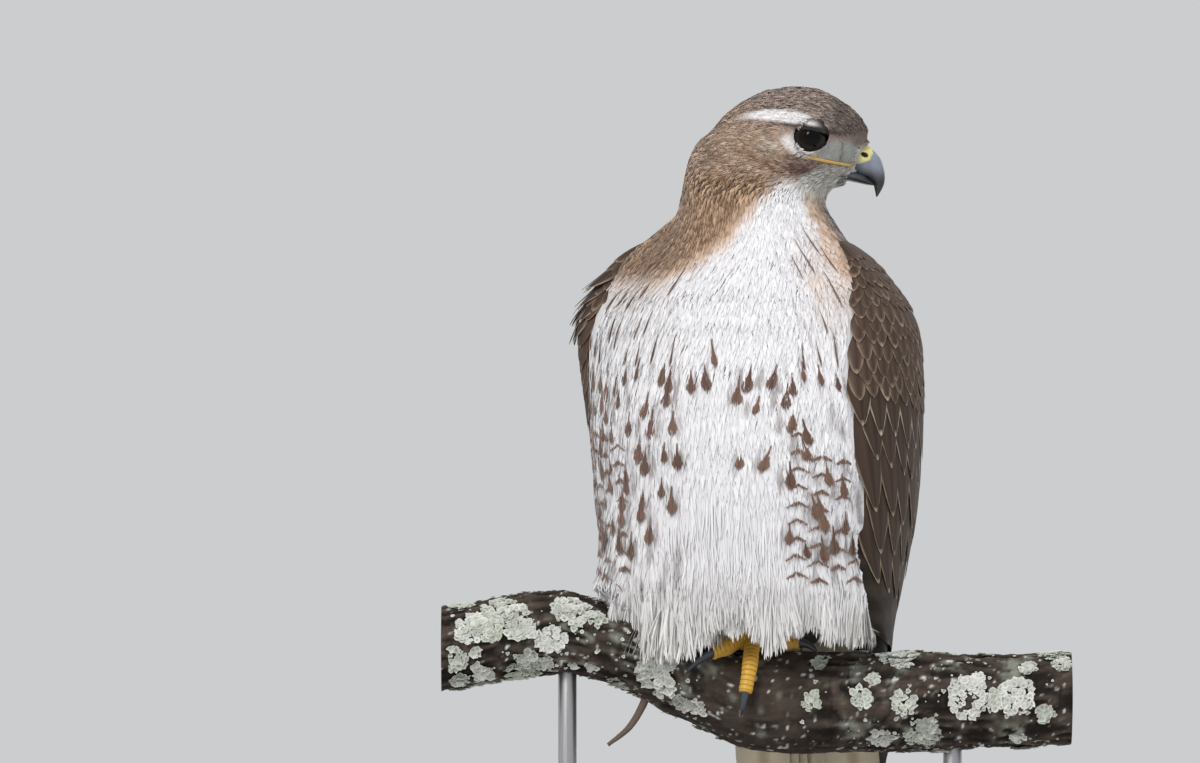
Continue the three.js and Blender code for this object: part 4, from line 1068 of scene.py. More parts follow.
def chevrons(rng):
    """The flanks' bars, each a row of short hairs that falls to both sides from its middle."""
    column, row = (v.ravel().astype(float) for v in np.meshgrid(np.arange(-12, 12), np.arange(0, 16)))
    z = (row + 0.5) * BAR["down"] - BAR["down"] * hashed(column, 8)
    middle = (column + 0.5) * BAR["across"] - 3 * (hashed(column, 9) - 0.5)
    degrees = np.degrees(middle / SPOT["radius"])
    wide, thick, draw = bar_draws(row, column)
    keep = (draw < 0.85) & (flank(degrees, z) > 0.4) & in_front(degrees, z)
    z, degrees, wide, thick = (v[keep] for v in (z, degrees, wide, thick))
    parts = []
    for off in np.linspace(-1, 1, 19):
        draw = rng.random((4, len(z)))
        x = (off + 0.05 * (draw[0] - 0.5)) * wide
        length = thick * (2.3 - 1.2 * abs(off)) * (0.7 + 0.6 * draw[1])
        top = z + thick - 0.5 * np.abs(x) + 0.5 * (draw[2] - 0.5)
        share = 0.15 + 0.5 * abs(off) + 0.3 * draw[3]
        height = 0.95 + 0.6 * draw[1] + 0.7 * ramp(z, 100, 60)
        parts.append(strands(degrees + np.degrees(x / SPOT["radius"]), top, 0.12 * np.sign(x), length,
                             np.full(len(z), 0.62), height, share, rng))
    return parts


class HAWK_OT_body_coat(bpy.types.Operator):
    """Grows the soft feathers of breast, belly and neck"""

    bl_idname = "hawk.body_coat"
    bl_label = "Body coat"

    def execute(self, context):
        sizes = context.scene.hawk_sizes
        material = plumage_material("soft plumage", 0.8, 0.00006, 0.05, 0.35)
        coat_bands("coat_front", material, front_part(1, sizes))
        silk = plumage_material("silky plumes", 3.0, 0.00002, 0.02, 0.3)
        coat_bands("coat_hem", silk, hem_part(2, sizes))
        rng = np.random.default_rng(3)
        coat_piece("coat_marks", material, teardrops(rng) + chevrons(rng))
        parts = []
        roots, normals = SKIN["surface"].scatter(2.6, 4, on_upper_back)
        parts.append(grown(roots, normals, np.full(len(roots), 12.0), 4.5, rng, lift=0.06))
        roots, normals = SKIN["surface"].scatter(1.5, 5, on_neck)
        length = 10 * (0.8 + 0.4 * rng.random(len(roots)))
        parts.append(grown(roots, normals, length, 2.1, rng, rows=(0, 0.5, 0.8, 1), columns=3, lift=0.05,
                           point=0.8, streaks=0.9, vary=0.15))
        coat_piece("coat_neck", material, parts)
        return {"FINISHED"}


def over_ball(a, b):
    """How far out a cover close over the eyeball is, at places ahead of the eye's middle and above it."""
    reach = np.hypot(a, b)
    inside = np.sqrt(np.maximum((EYE["radius"] + 0.35) ** 2 - np.minimum(reach**2, 70), 0))
    return inside - 0.5 * np.maximum(reach - 8.4, 0)


def eye_places(side, a, b, depth):
    """Places of the head's frame from how far ahead, above and out they are from the eye's middle."""
    middle, out, ahead = eye_axes(side)
    return middle + ahead * a[..., None] + np.array([0, 0, 1.0]) * b[..., None] + out * depth[..., None]


def brow_part(side, rng):
    """The short feathers of the brow that overhang one eye's upper lid, with a painted shadow along their
    lower edge.
    """
    n = 1300
    a0 = rng.uniform(-11, 14, n)
    b0 = lid_top(a0) + 0.2 + 6.5 * rng.random(n)
    length = 2.8 * (0.7 + 0.6 * rng.random(n))
    t = np.array([0, 0.55, 1.0])
    a = a0[:, None] - length[:, None] * t
    b = b0[:, None] - 0.16 * length[:, None] * t
    line = eye_places(side, a, b, over_ball(a, b) + 0.55 + 0.35 * t * rng.random((n, 1)))
    half = np.array([0.3, 0.3, 0.05])[None, :, None, None] * np.array([0, 0, 1.0])
    curve = eye_axes(side)[1] * 0.08 * THREE_ACROSS**2
    points = from_head(line[:, :, None] + half * THREE_ACROSS * side - curve)
    core, edge = head_markings(points.reshape(-1, 3))
    tint = tinted(points, core.reshape(points.shape), edge.reshape(points.shape), rng, vary=0.25)
    above = (b - lid_top(a) + 0.5 * (rng.random((n, 1)) - 0.5))[..., None]
    tint = mix(tint * 0.86, tone("forehead_dark"), 0.85 * ramp(a, 0, 6)[..., None] * ramp(above, 7, 4))
    # Painted shadow: the brow feathers turn near black within about 2 mm of the lids' top edge.
    tint = mix(tint, tone("dark") * 0.6, ramp(above, 1.9, 0.9))
    return points[:, 0, 1], points, length, np.full(n, 0.6), tint, t


class HAWK_OT_head_coat(bpy.types.Operator):
    """Grows the short feathers of the head"""

    bl_idname = "hawk.head_coat"
    bl_label = "Head coat"

    def execute(self, context):
        sizes = context.scene.hawk_sizes
        material = plumage_material("head plumage", 0.9, 0.0001, 0.08, 0.3)
        rng = np.random.default_rng(7)
        roots, normals = SKIN["surface"].scatter(sizes.head_spacing / MM, 8, on_head)
        h = to_head(roots)
        face = ramp(h[:, 0], 0, 16) * ramp(h[:, 2], 4, -2)
        length = (7.2 - 4.8 * face) * (0.8 + 0.4 * rng.random(len(roots)))
        width = 1.8 - 1.1 * face
        brow = ramp(h[:, 0], -40, -26) * ramp(h[:, 0], 12, 4) * ramp(h[:, 2], 3, 6) * ramp(h[:, 2], 17, 14)
        lift = 0.06 - 0.04 * brow + 0.06 * face
        part = grown(roots, normals, length, width, rng, rows=ROWS_SHORT, columns=3, vary=0.25, streaks=1.0,
                     lift=lift, point=0.9, sink=0.5)
        coat_bands("coat_head", material, part)
        roots, normals = SKIN["surface"].scatter(sizes.face_spacing / MM, 9, on_face)
        length = 3.0 * (0.7 + 0.6 * rng.random(len(roots)))
        part = grown(roots, normals, length, 0.5, rng, rows=ROWS_SHORT, columns=3, vary=0.15, lift=0.07,
                     sway=0.4, sink=0.3)
        coat_bands("coat_face", material, part)
        coat_piece("coat_brows", material, [brow_part(side, rng) for side in (1, -1)])
        return {"FINISHED"}


# Round forms

def smooth_path(rows, count):
    """Places on a smooth curve through rows of x, y, z and any further columns, such as radii."""
    rows = np.asarray(rows, float)
    gaps = np.linalg.norm(np.diff(rows[:, :3], axis=0), axis=1)
    place = np.concatenate([[0], np.cumsum(gaps)])
    table = np.column_stack([place, rows])
    at = np.linspace(0, place[-1], count)
    return np.stack([smooth_rows(table, k + 1, at) for k in range(rows.shape[1])], -1)


def rings(path, side, sides):
    """Rings round a path of x, y, z, half width, half height; side is the way of the width."""
    middle, wide, high = path[:, None, :3], path[:, 3, None, None], path[:, 4, None, None]
    way = unit(np.gradient(path[:, :3], axis=0))
    side = np.broadcast_to(np.asarray(side, float), way.shape)
    across = unit(side - way * dot(side, way))[:, None]
    up = np.cross(way[:, None], across)
    turn = np.linspace(0, 2 * math.pi, sides, endpoint=False)[None, :, None]
    return middle + across * wide * np.cos(turn) + up * high * np.sin(turn)


def closed(rings_):
    """Points and faces of a tube whose ends close on a point each."""
    n, sides = rings_.shape[:2]
    i, k = np.meshgrid(np.arange(n - 1), np.arange(sides), indexing="ij")
    a, b = (i * sides + k).ravel(), (i * sides + (k + 1) % sides).ravel()
    quads = np.stack([a, b, b + sides, a + sides], 1)
    points = np.concatenate([rings_.reshape(-1, 3), rings_[[0, -1]].mean(1)])
    k, after, end = np.arange(sides), (np.arange(sides) + 1) % sides, np.full(sides, n * sides)
    first = np.stack([after, k, end], 1)
    last = np.stack([k + (n - 1) * sides, after + (n - 1) * sides, end + 1], 1)
    return points, [quads, first, last]


def joined(solids):
    """Several point and face sets as one."""
    points, faces, start = [], [], 0
    for p, sets in solids:
        points.append(p)
        faces += [f + start for f in sets]
        start += len(p)
    return np.concatenate(points), faces


def tube(rows, sides, count, side=(0, 1, 0)):
    rows = np.asarray(rows, float)
    if rows.shape[1] == 4:
        rows = np.column_stack([rows, rows[:, 3]])
    return closed(rings(smooth_path(rows, count), side, sides))


# The wings

def side_angle(side, u, z):
    front = smooth_rows(WING, 4 if side > 0 else 5, z)
    return np.radians(front * (1 - u) + smooth_rows(WING, 6, z) * u)


def sheet(side, u, z):
    """A place on the folded wing's sheet; u runs from its front edge to the bird's back."""
    t = side_angle(side, u, z)
    wide = smooth_rows(WING, 2, z) + (smooth_rows(WING, 7, z) if side < 0 else 0)
    y = smooth_rows(WING, 1, z) - smooth_rows(WING, 3, z) * np.cos(t)
    return np.stack([side * wide * np.sin(t), y, z], -1)


def outward(side, u, z):
    down = sheet(side, u, z - 0.5) - sheet(side, u, z + 0.5)
    back = sheet(side, u + 0.01, z) - sheet(side, u - 0.01, z)
    way = unit(np.cross(down, back))
    middle = np.stack([0 * z, smooth_rows(WING, 1, z), z], -1)
    return way * np.sign(dot(way, sheet(side, u, z) - middle))


def sheet_top(z):
    """How far inside its sheet the wing's core lies."""
    return -np.interp(z, (-122, -40, 10, 60, 110, 226), (1.2, 1.8, 3.4, 4.2, 4.4, 4.2))


def spaced(count, gather=1.5):
    """Rows from root to tip, closer together towards the tip."""
    return 1 - (1 - np.linspace(0, 1, count)) ** gather


COLUMNS_LARGE = np.array([-1, -0.93, -0.82, -0.6, -0.32, -0.07, 0.07, 0.32, 0.6, 0.82, 0.93, 1])
COLUMNS_SMALL = np.array([-1, -0.86, -0.5, 0, 0.5, 0.86, 1])


def vane_width(s, root, round_from, point=0.0):
    """A vane's half width along it as a share: narrow at the root, rounded at the tip."""
    end = np.clip((s - round_from) / (1 - round_from), 0, 1)
    broad = root + (1 - root) * ramp(s, 0, 0.35)
    return broad * np.sqrt(np.maximum(1 - end**2, 0.0006)) * (1 - point * end)


def laid(side, kind, u, z, half, height, rng, tip=0.72, point=0.15):
    """Feathers over a wing as a part for coat_piece; u and z are pairs for their roots and tips, and
    height(s) is how far over the core each lies along it."""
    n, rows, columns = len(u[0]), kind["rows"], kind["columns"]
    s = rows[None, :, None]
    c = columns[None, None, :]
    begin, end, from_u, to_u, wide = (np.asarray(v, float)[:, None, None] for v in (*z, *u, half))
    at_z = begin * (1 - s) + end * s + 0 * c
    at_u = from_u * (1 - s) + to_u * s + 0 * c
    per_u = np.linalg.norm(sheet(side, at_u + 0.01, at_z) - sheet(side, at_u - 0.01, at_z), axis=-1) / 0.02
    share = vane_width(s, 0.55, tip, point)
    edge = 1 + 0.07 * (rng.random((n, len(rows), len(columns))) - 0.5) * (np.abs(c) > 0.8)
    off = c * wide * share * edge
    at_z = at_z - 0.5 * (rng.random((n, 1, len(columns))) - 0.5) * s**6 * 2
    at_u = at_u + off / per_u
    lift = height(s) + sheet_top(at_z) + 0.7 * (1 - c**2) * share - 0.4 * 0.7 - 6 * ramp(at_u, 0.07, -0.05)
    points = sheet(side, at_u, at_z) + outward(side, at_u, at_z) * lift[..., None]
    length = z[0] - z[1]
    tint = vane_tints(points, kind, half, length, rng)
    return points[:, 0, len(columns) // 2], points, length, half * 2, tint, rows


def vane_tints(points, kind, half, length, rng):
    """Colours over vanes of one kind, from how far across and along each place is."""
    n = len(points)
    across, along = np.abs(kind["columns"][None, None, :]), kind["rows"][None, :, None]
    length = length[:, None, None]
    edge_mm = (1 - across) * half[:, None, None] * np.ones_like(along)
    left = length * (1 - along) + 0 * across + 0.9 * (rng.random((n, 1, 1)) - 0.5)
    base = mix(tone(kind["web"]), tone(kind["shade"]), 0.5 * ramp(across + 0 * left, 0.2, 0.9))
    if "bars" in kind:
        pitch, share = kind["bars"]
        phase = ((along * length + 3 * across) / pitch + rng.random((n, 1, 1)) * 0.9) % 1
        base = mix(base, tone(kind["bar"]), share * ramp(np.abs(phase - 0.5), 0.22, 0.32))
    rim = kind["rim"] * (0.7 + 0.6 * rng.random((n, 1, 1)))
    pale = ramp(np.minimum(edge_mm, left * 0.7), rim, rim * 0.35) * ramp(along, 0.3, 0.8)
    base = mix(base, tone(kind["edge"]), kind["rim_share"] * pale * (0.5 + 0.6 * rng.random((n, 1, 1))))
    if "tip" in kind:
        tip = ramp(left + 1.5 * across, kind["tip"] + 1.2, kind["tip"] - 0.6)
        base = mix(base, tone(kind["edge"]), 0.9 * tip)
    base = mix(base, tone("wing_dark") * 0.5, 0.6 * (across < 0.08) * (left > 2))
    return base * (1 + 0.16 * (rng.random((n, 1, 1, 1)) - 0.5))


def kind_of(web, shade, edge, rim, rim_share, large=True, rows=18, **more):
    columns = COLUMNS_LARGE if large else COLUMNS_SMALL
    return {"web": web, "shade": shade, "edge": edge, "rim": rim, "rim_share": rim_share, "columns": columns,
            "rows": spaced(rows), **more}


# Tiers of a wing from the lowest layer up: how many feathers and lines, across the wing at roots and tips,
# heights of roots and tips at the wing's front and back, half widths, lift at root and tip, and how far each
# feather lies over the one before it
TIERS = (
    ("primaries", 10, 1, (0.04, 0.86), (0.06, 0.95), (66, 56), (-80, -117), (12.5, 10.5), (-1.2, 0.2), 4.2),
    ("secondaries", 11, 1, (0.06, 0.93), (0.10, 0.97), (96, 84), (4, -48), (13, 12), (-1.6, 2.6), 3.8),
    ("greater", 11, 3, (0.05, 0.88), (0.07, 0.9), (102, 90), (36, -6), (9, 10), (-1, 3.0), 1.6),
    ("median", 12, 2, (0.04, 0.78), (0.05, 0.8), (172, 160), (120, 84), (8, 8.5), (-0.5, 3.4), 1.2),
    ("lesser", 15, 7, (0.03, 0.74), (0.03, 0.75), (202, 190), (179, 162), (4.6, 5.2), (0.2, 3.4), 0.8),
    ("marginal", 19, 6, (-0.02, 0.98), (-0.02, 0.98), (225, 220), (212, 205), (3.2, 3.6), (0.6, 3.4), 0.5),
    ("scapulars", 5, 5, (0.66, 0.97), (0.68, 0.98), (150, 146), (74, 52), (12, 12), (1.2, 5.0), 0.8),
    ("mantle", 5, 4, (0.62, 0.97), (0.63, 0.98), (214, 210), (186, 176), (8, 8), (1.0, 4.4), 0.6),
)
TIER_STEPS = {"greater": 20, "median": -17, "lesser": -7.2, "marginal": -5.2, "scapulars": 15, "mantle": -11}


def wing_kinds():
    return {
        "primaries": kind_of("wing_dark", "primary", "edge_pale", 0.9, 0.5, rows=26, point=0.25),
        "secondaries": kind_of("wing_dark", "primary", "edge_pale", 1.1, 0.75, rows=24, bars=(15, 0.35),
                               bar="bar_dark"),
        "greater": kind_of("wing_mid", "wing_dark", "edge_pale", 1.0, 0.95, tip=1.4, point=0.5),
        "median": kind_of("wing_mid", "wing_dark", "edge_white", 1.0, 0.9, rows=14, tip=1.3, point=0.55),
        "lesser": kind_of("lesser", "wing_mid", "edge_pale", 0.8, 0.85, False, 9, point=0.3),
        "marginal": kind_of("lesser", "wing_mid", "edge_pale", 0.6, 0.55, False, 7),
        "scapulars": kind_of("wing_dark", "wing_mid", "edge_white", 1.6, 0.7, rows=16, bars=(17, 0.3),
                             bar="mottle", point=0.3),
        "mantle": kind_of("wing_mid", "wing_dark", "edge_pale", 1.2, 0.7, rows=12),
    }


def tier_parts(side, rng):
    """Every feather of one wing as parts for coat_piece."""
    kinds = wing_kinds()
    parts = []
    for name, count, lines, root, tip, start, end, half, lift, layer in TIERS:
        for line in range(lines):
            k = (np.arange(count) + 0.5 * (line % 2)) / (count - 0.5)
            step = TIER_STEPS.get(name, 0) * line
            jitter = rng.random((4, count)) - 0.5
            pairs = (root, tip, start, end, half)
            root_u, tip_u, begin, finish, width = (v[0] + (v[1] - v[0]) * k for v in pairs)
            over = rng.random((count, 1, 1)) * 0.25 + k[:, None, None] * layer * 0.6
            over = over + 0.35 * line * (step > 0)

            def height(s, over=over, lift=lift):
                return lift[0] + (lift[1] - lift[0]) * s**0.8 + over * ramp(s, 0, 0.3)

            u = (root_u + 0.008 * jitter[2], tip_u + 0.022 * jitter[3])
            z = (begin + step, finish + step + 3.5 * jitter[1])
            parts.append(laid(side, kinds[name], u, z, width * (1 + 0.12 * jitter[0]), height, rng,
                              tip=0.86 if layer > 3 else 0.6, point=kinds[name].get("point", 0.15)))
    parts += [cape(side, line, kinds["mantle"], rng) for line in range(9)]
    return parts + [tufts(line, kinds["median"], rng) for line in range(4 if side < 0 else 0)]


def wing_share(side, degrees, z):
    """How far across the wing's sheet an angle lies; over 1 beyond the wing, on the middle of the back."""
    front = smooth_rows(WING, 4 if side > 0 else 5, z)
    return (degrees - front) / (smooth_rows(WING, 6, z) - front)


def cape(side, line, kind, rng):
    """One row of the feathers that close the back between the wings, from the neck's foot down."""
    degrees = np.arange(140, 186, 5.5) + 2.7 * (line % 2)
    count = len(degrees)
    begin = np.full(count, 228.0 - 10.5 * line) + 2 * rng.random(count)
    finish = begin - 20 - 1.5 * line
    u = (wing_share(side, degrees, begin), wing_share(side, degrees, finish))
    return laid(side, kind, u, (begin, finish), np.full(count, 4.2 + 0.35 * line),
                lambda s: 1.2 + 3.2 * s**0.8 - 0.12 * line, rng, tip=0.6, point=0)


def tufts(line, kind, rng):
    """One row of the ruffled feathers with white edges at the top of the right wing."""
    count = 8
    u = np.linspace(0.02, 0.3, count) + 0.02 * (line % 2)
    begin = 214 - 9 * line - 4 * u + 3 * rng.random(count)
    finish = begin - 20 - 5 * rng.random(count)
    rise = 4 + 4.5 * rng.random((count, 1, 1))
    half = 3.2 + rng.random(count)
    tip_u = u + 0.03 * rng.random(count)
    return laid(-1, kind, (u, tip_u), (begin, finish), half, lambda s: 1 + rise * s**1.6, rng,
                tip=0.55, point=0.5)


def wing_core(side):
    """A dark core that backs the free feathers of a folded wing, closed at its ends."""
    z = np.linspace(60, -62, 26)[:, None]
    u = np.concatenate([np.linspace(0.04, 0.94, 12), np.linspace(0.94, 0.04, 12)])[None]
    inner = np.concatenate([np.zeros(12), np.full(12, 1.0)])[None]
    u, z = u + 0 * z, z + 0 * u
    thick = np.interp(z, (-62, 0, 60), (0.8, 2.4, 3))
    rings_ = sheet(side, u, z) + outward(side, u, z) * (sheet_top(z) - 1.6 - inner * thick)[..., None]
    points, faces = closed(rings_)
    return points, faces if side > 0 else [f[:, ::-1] for f in faces]


class HAWK_OT_wings(bpy.types.Operator):
    """Lays the folded wings' feathers in their tiers"""

    bl_idname = "hawk.wings"
    bl_label = "Wings"

    def execute(self, context):
        material = plumage_material("wing plumage", 1.2, 0.00014, 0.12, 0.06)
        for side, name in ((1, "left"), (-1, "right")):
            parts = tier_parts(side, np.random.default_rng(20 + side))
            half = len(parts) // 2
            low = coat_piece(f"coat_wing_{name}_1", material, parts[:half])
            high = coat_piece(f"coat_wing_{name}_2", material, parts[half:])
            points, faces = wing_core(side)
            # The core's tint is the wings' darkest brown at half strength: their own colour, darkened further
            # as painted shade between the feathers.
            tint = np.broadcast_to(tone("wing_dark") * 0.5, points.shape)
            core = lay_mesh(f"wing_core_{name}", points, faces, material, tint=tint)
            for piece in (low, high, core):
                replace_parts(piece, "wing_" + name)
        return {"FINISHED"}


# The tail

TAIL = {"root": (67, 41), "long": 224, "slope": math.radians(75), "feathers": 12, "vane": 31, "spread": 3.2,
        "pitch": 3.7, "layer": 0.75}


def tail_point(off, across, s, lift):
    turn = np.radians(off / (TAIL["feathers"] / 2) * TAIL["spread"])
    length = TAIL["long"] * s * (1 - 0.01 * np.abs(off))
    down = np.cos(turn) * length - across * np.sin(turn)
    c, n = math.cos(TAIL["slope"]), math.sin(TAIL["slope"])
    x = off * TAIL["pitch"] + np.sin(turn) * length + across * np.cos(turn)
    return np.stack([x, TAIL["root"][0] + down * c + lift * n, TAIL["root"][1] - down * n + lift * c], -1)


class HAWK_OT_tail(bpy.types.Operator):
    """Lays the tail's twelve feathers, rufous above and pale below"""

    bl_idname = "hawk.tail"
    bl_label = "Tail"

    def execute(self, context):
        rng = np.random.default_rng(30)
        count = TAIL["feathers"]
        off = (np.arange(count) - (count - 1) / 2)[:, None, None]
        rank = count - 1 - 2 * np.abs(off) + (off > 0)
        s, c = spaced(34, 1.3)[None, :, None], COLUMNS_LARGE[None, None, :]
        share = vane_width(s, 0.3, 0.93, 0.1)
        edge = 1 + 0.05 * (rng.random((count, 34, 12)) - 0.5) * (np.abs(c) > 0.8)
        across = c * TAIL["vane"] / 2 * share * edge
        place = 0.04 + 0.96 * s + 0.004 * (rng.random((count, 1, 12)) - 0.5) * s**5
        camber = 0.7 * (1 - c**2)
        parts = []
        upper, under = ("tail_top", "tail_band", "tail_tip"), ("tail_under", "tail_wash", "tail_under")
        for names, sunk in ((upper, 0), (under, 0.55)):
            points = tail_point(off, across, place, (rank - 4) * TAIL["layer"] + camber - sunk + 0 * s)
            tint = self.tints(names, place, c, rng)
            if sunk:
                points, tint = points[:, :, ::-1], tint[:, :, ::-1]
            parts.append((points[:, 0, 6], points, TAIL["long"], TAIL["vane"], tint, spaced(34, 1.3)))
        material = plumage_material("tail plumage", 1.4, 0.00014, 0.1, 0.15)
        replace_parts(coat_piece("coat_tail", material, parts), "tail")
        return {"FINISHED"}

    def tints(self, names, place, c, rng):
        """Colours of one face of the tail: its web, the dark band and the tip."""
        top, band, tip = (tone(n) for n in names)
        count = len(place)
        left = TAIL["long"] * (1 - place) + 1.2 * (rng.random((count, 1, 1)) - 0.5) + 1.6 * np.abs(c)
        base = mix(top, top * 0.72, 0.6 * ramp(np.abs(c) + 0 * left, 0.3, 1))
        base = mix(base, tone("cream"), 0.5 * ramp(left, 150, 200))
        base = mix(base, band, 0.92 * ramp(left, 9.5, 11) * ramp(left, 17, 15.5))
        base = mix(base, tip, 0.95 * ramp(left, 5.2, 3.8))
        base = mix(base, band * 0.7, 0.6 * (np.abs(c) < 0.08) * (left > 4))
        return base * (1 + 0.12 * (rng.random((count, 1, 1, 1)) - 0.5))


# Eyes, lids, bill and mouth

# Sections of the bill's upper and lower halves along their middle lines: x, z, half height, half width
BILL = [
    (15, -9, 7.4, 9.3), (24, -11, 8, 8.3), (31, -15.4, 7.3, 6.2), (34.6, -19.8, 4.9, 4.5),
    (36, -24.5, 3.3, 2.9), (35.7, -28.7, 1.8, 1.5), (35, -32.4, 0.3, 0.3),
]
LOWER_BILL = [
    (8, -18.5, 3, 8.6), (17, -19.6, 3.7, 7.7), (24, -21.8, 2.9, 6.2), (29, -23.7, 2.1, 4.4),
    (33, -25.4, 1.0, 2.4), (34, -25.8, 0.3, 0.8),
]
# The cere's front edge, height and place ahead, and its lower edge, place ahead and height
CERE = {"front": ((-14, -12.5, -9, -5, -1, 3), (30.6, 32.4, 33.4, 32.9, 31.2, 29)),
        "low": ((20, 25, 29, 33), (-16, -15.2, -14, -12.6)), "swell": 0.45, "sunk": 0.5}
NOSTRIL = {"x": 28.9, "z": -9.9, "long": 2.1, "high": 1.35, "deep": 1.9}
MOUTH = [(-1, -11.7), (5, -12.7), (12.5, -14.3), (19, -15.2), (22.5, -15.7)]  # in the head's frame, x and z


def eye_axes(side):
    t = math.radians(EYE["forward"])
    out = np.array([math.sin(t), side * math.cos(t), 0])
    ahead = np.array([math.cos(t), -side * math.sin(t), 0])
    return np.array([EYE["ahead"], side * EYE["out"], EYE["up"]]), out, ahead


def bill_solid(table, count, narrow_top, sides=84):
    """A closed half of the bill, narrower above than below."""
    form = rings(smooth_path([(x, 0, z, w, h) for x, z, h, w in table], count), (0, 1, 0), sides)
    middle = form.mean(1, keepdims=True)
    up = -np.sin(np.linspace(0, 2 * math.pi, sides, endpoint=False))[None, :, None]
    squeeze = 1 - narrow_top * np.clip(up, 0, 1) ** 1.5
    form[..., 1:2] = middle[..., 1:2] + (form[..., 1:2] - middle[..., 1:2]) * squeeze
    return closed(form)


def horn_material():
    """Polished horn with fine growth lines along it."""
    paint = Paint("horn", roughness=0.3, coat_weight=0.25, coat_roughness=0.15, specular_ior_level=0.5)
    lines = paint.grain(2600, 2600, 500)
    clouds = paint.grain(420, 420, 300, 2)
    tint = paint.tinted(0.72, 1.28, lines * 0.5 + clouds * 0.5)
    rough = clouds * 0.25 + 0.2
    return paint.set(base_color=tint, roughness=rough, normal=paint.bump(lines, 0.00006)).material


def flesh_material(name, grain, depth, rough, shine=0.4):
    """Bare waxy skin with a fine grain."""
    paint = Paint(name, roughness=rough, subsurface_weight=0.12, subsurface_radius=(0.002, 0.001, 0.0005),
                  subsurface_scale=1.0, specular_ior_level=shine)
    pores = paint.grain(grain, grain, grain)
    return paint.set(base_color=paint.tinted(0.8, 1.18, pores), normal=paint.bump(pores, depth)).material


def eye_material():
    """A near-black wet eye with a dark brown iris, told apart by the tint of its points."""
    paint = Paint("eye", roughness=0.05, specular_ior_level=0.14)
    return paint.set(base_color=paint.tinted(0.6, 1.4, paint.grain(2200, 2200, 2200))).material


# The lids: points round them, and for each row from the eyeball out how far it is grown and stands proud
LIDS = {"sides": 72, "rows": ((-1.2, -0.5), (-0.3, 0.02), (0.0, 0.22), (0.4, 0.2), (0.9, -0.1), (1.8, -1.2),
                              (3.4, -3.6), (5.5, -7.0))}


class HAWK_OT_eyes(bpy.types.Operator):
    """Makes the two eyeballs and the bare lids round them"""

    bl_idname = "hawk.eyes"
    bl_label = "Eyes"

    def execute(self, context):
        glossy = eye_material()
        lid_skin = flesh_material("lid skin", 1800, 0.00012, 0.85, 0.15)
        for side, name in ((1, "left"), (-1, "right")):
            ball = self.ball(side, name)
            ball.data.materials.append(glossy)
            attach(ball, "root")
            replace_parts(ball, "eye_" + name)
            self.lids(side, name, lid_skin)
        return {"FINISHED"}

    def ball(self, side, name):
        """An eyeball with the cornea's bulge, tinted round its pupil."""
        middle, out, _ = eye_axes(side)
        ball = primitive("uv_sphere", "eyeball_" + name, segments=64, ring_count=48,
                         radius=EYE["radius"] * MM, location=placed(from_head(middle)))
        bpy.ops.object.shade_smooth()
        h = to_head(points_of(ball))
        ahead = dot(unit(h - middle), out)[:, 0]
        h = h + unit(h - middle) * (0.75 * ramp(ahead, 0.76, 0.97))[:, None]
        move_points(ball, from_head(h))
        degrees = np.degrees(np.arccos(np.clip(ahead, -1, 1)))
        tint = mix(tone("iris"), tone("pupil"), ramp(degrees, 33, 29))
        colour(ball.data, mix(tint, tone("pupil"), ramp(degrees, 50, 56)))
        return ball

    def lids(self, side, name, material):
        """A ring of bare lid, almond shaped and cut straight above, from the eyeball out under the coat."""
        turn = np.linspace(0, 2 * math.pi, LIDS["sides"], endpoint=False)
        c, s = np.cos(turn), np.sin(turn)
        x = np.where(c > 0, 8.5 + 2.4 * np.clip(c, 0, 1) ** 8, 8.5) * c
        top = np.maximum(lid_top(x), 0.4) * (0.35 + 0.65 * np.sqrt(s.clip(0, 1)))
        y = np.where(s > 0, np.minimum(6.6 * s, top), 6.2 * s)
        rows = []
        for grow, proud in LIDS["rows"]:
            r = 1 + grow / np.hypot(x, y)
            rows.append(eye_places(side, x * r, y * r, over_ball(x * r, y * r) + proud))
        sides = LIDS["sides"]
        i, k = np.meshgrid(np.arange(len(rows) - 1), np.arange(sides), indexing="ij")
        a, b = (i * sides + k).ravel(), (i * sides + (k + 1) % sides).ravel()
        faces = np.stack([a, b, b + sides, a + sides], 1)[:, ::side]
        points = from_head(np.concatenate(rows))
        # One dark tint for all the lids: their bare skin's own colour, and also painted shade where the outer
        # rows lie under the brow.
        tint = np.broadcast_to(tone("lid"), points.shape)
        lids = lay_mesh("lids_" + name, points, faces, material, tint=tint)
        modified(lids, "SUBSURF", levels=1)


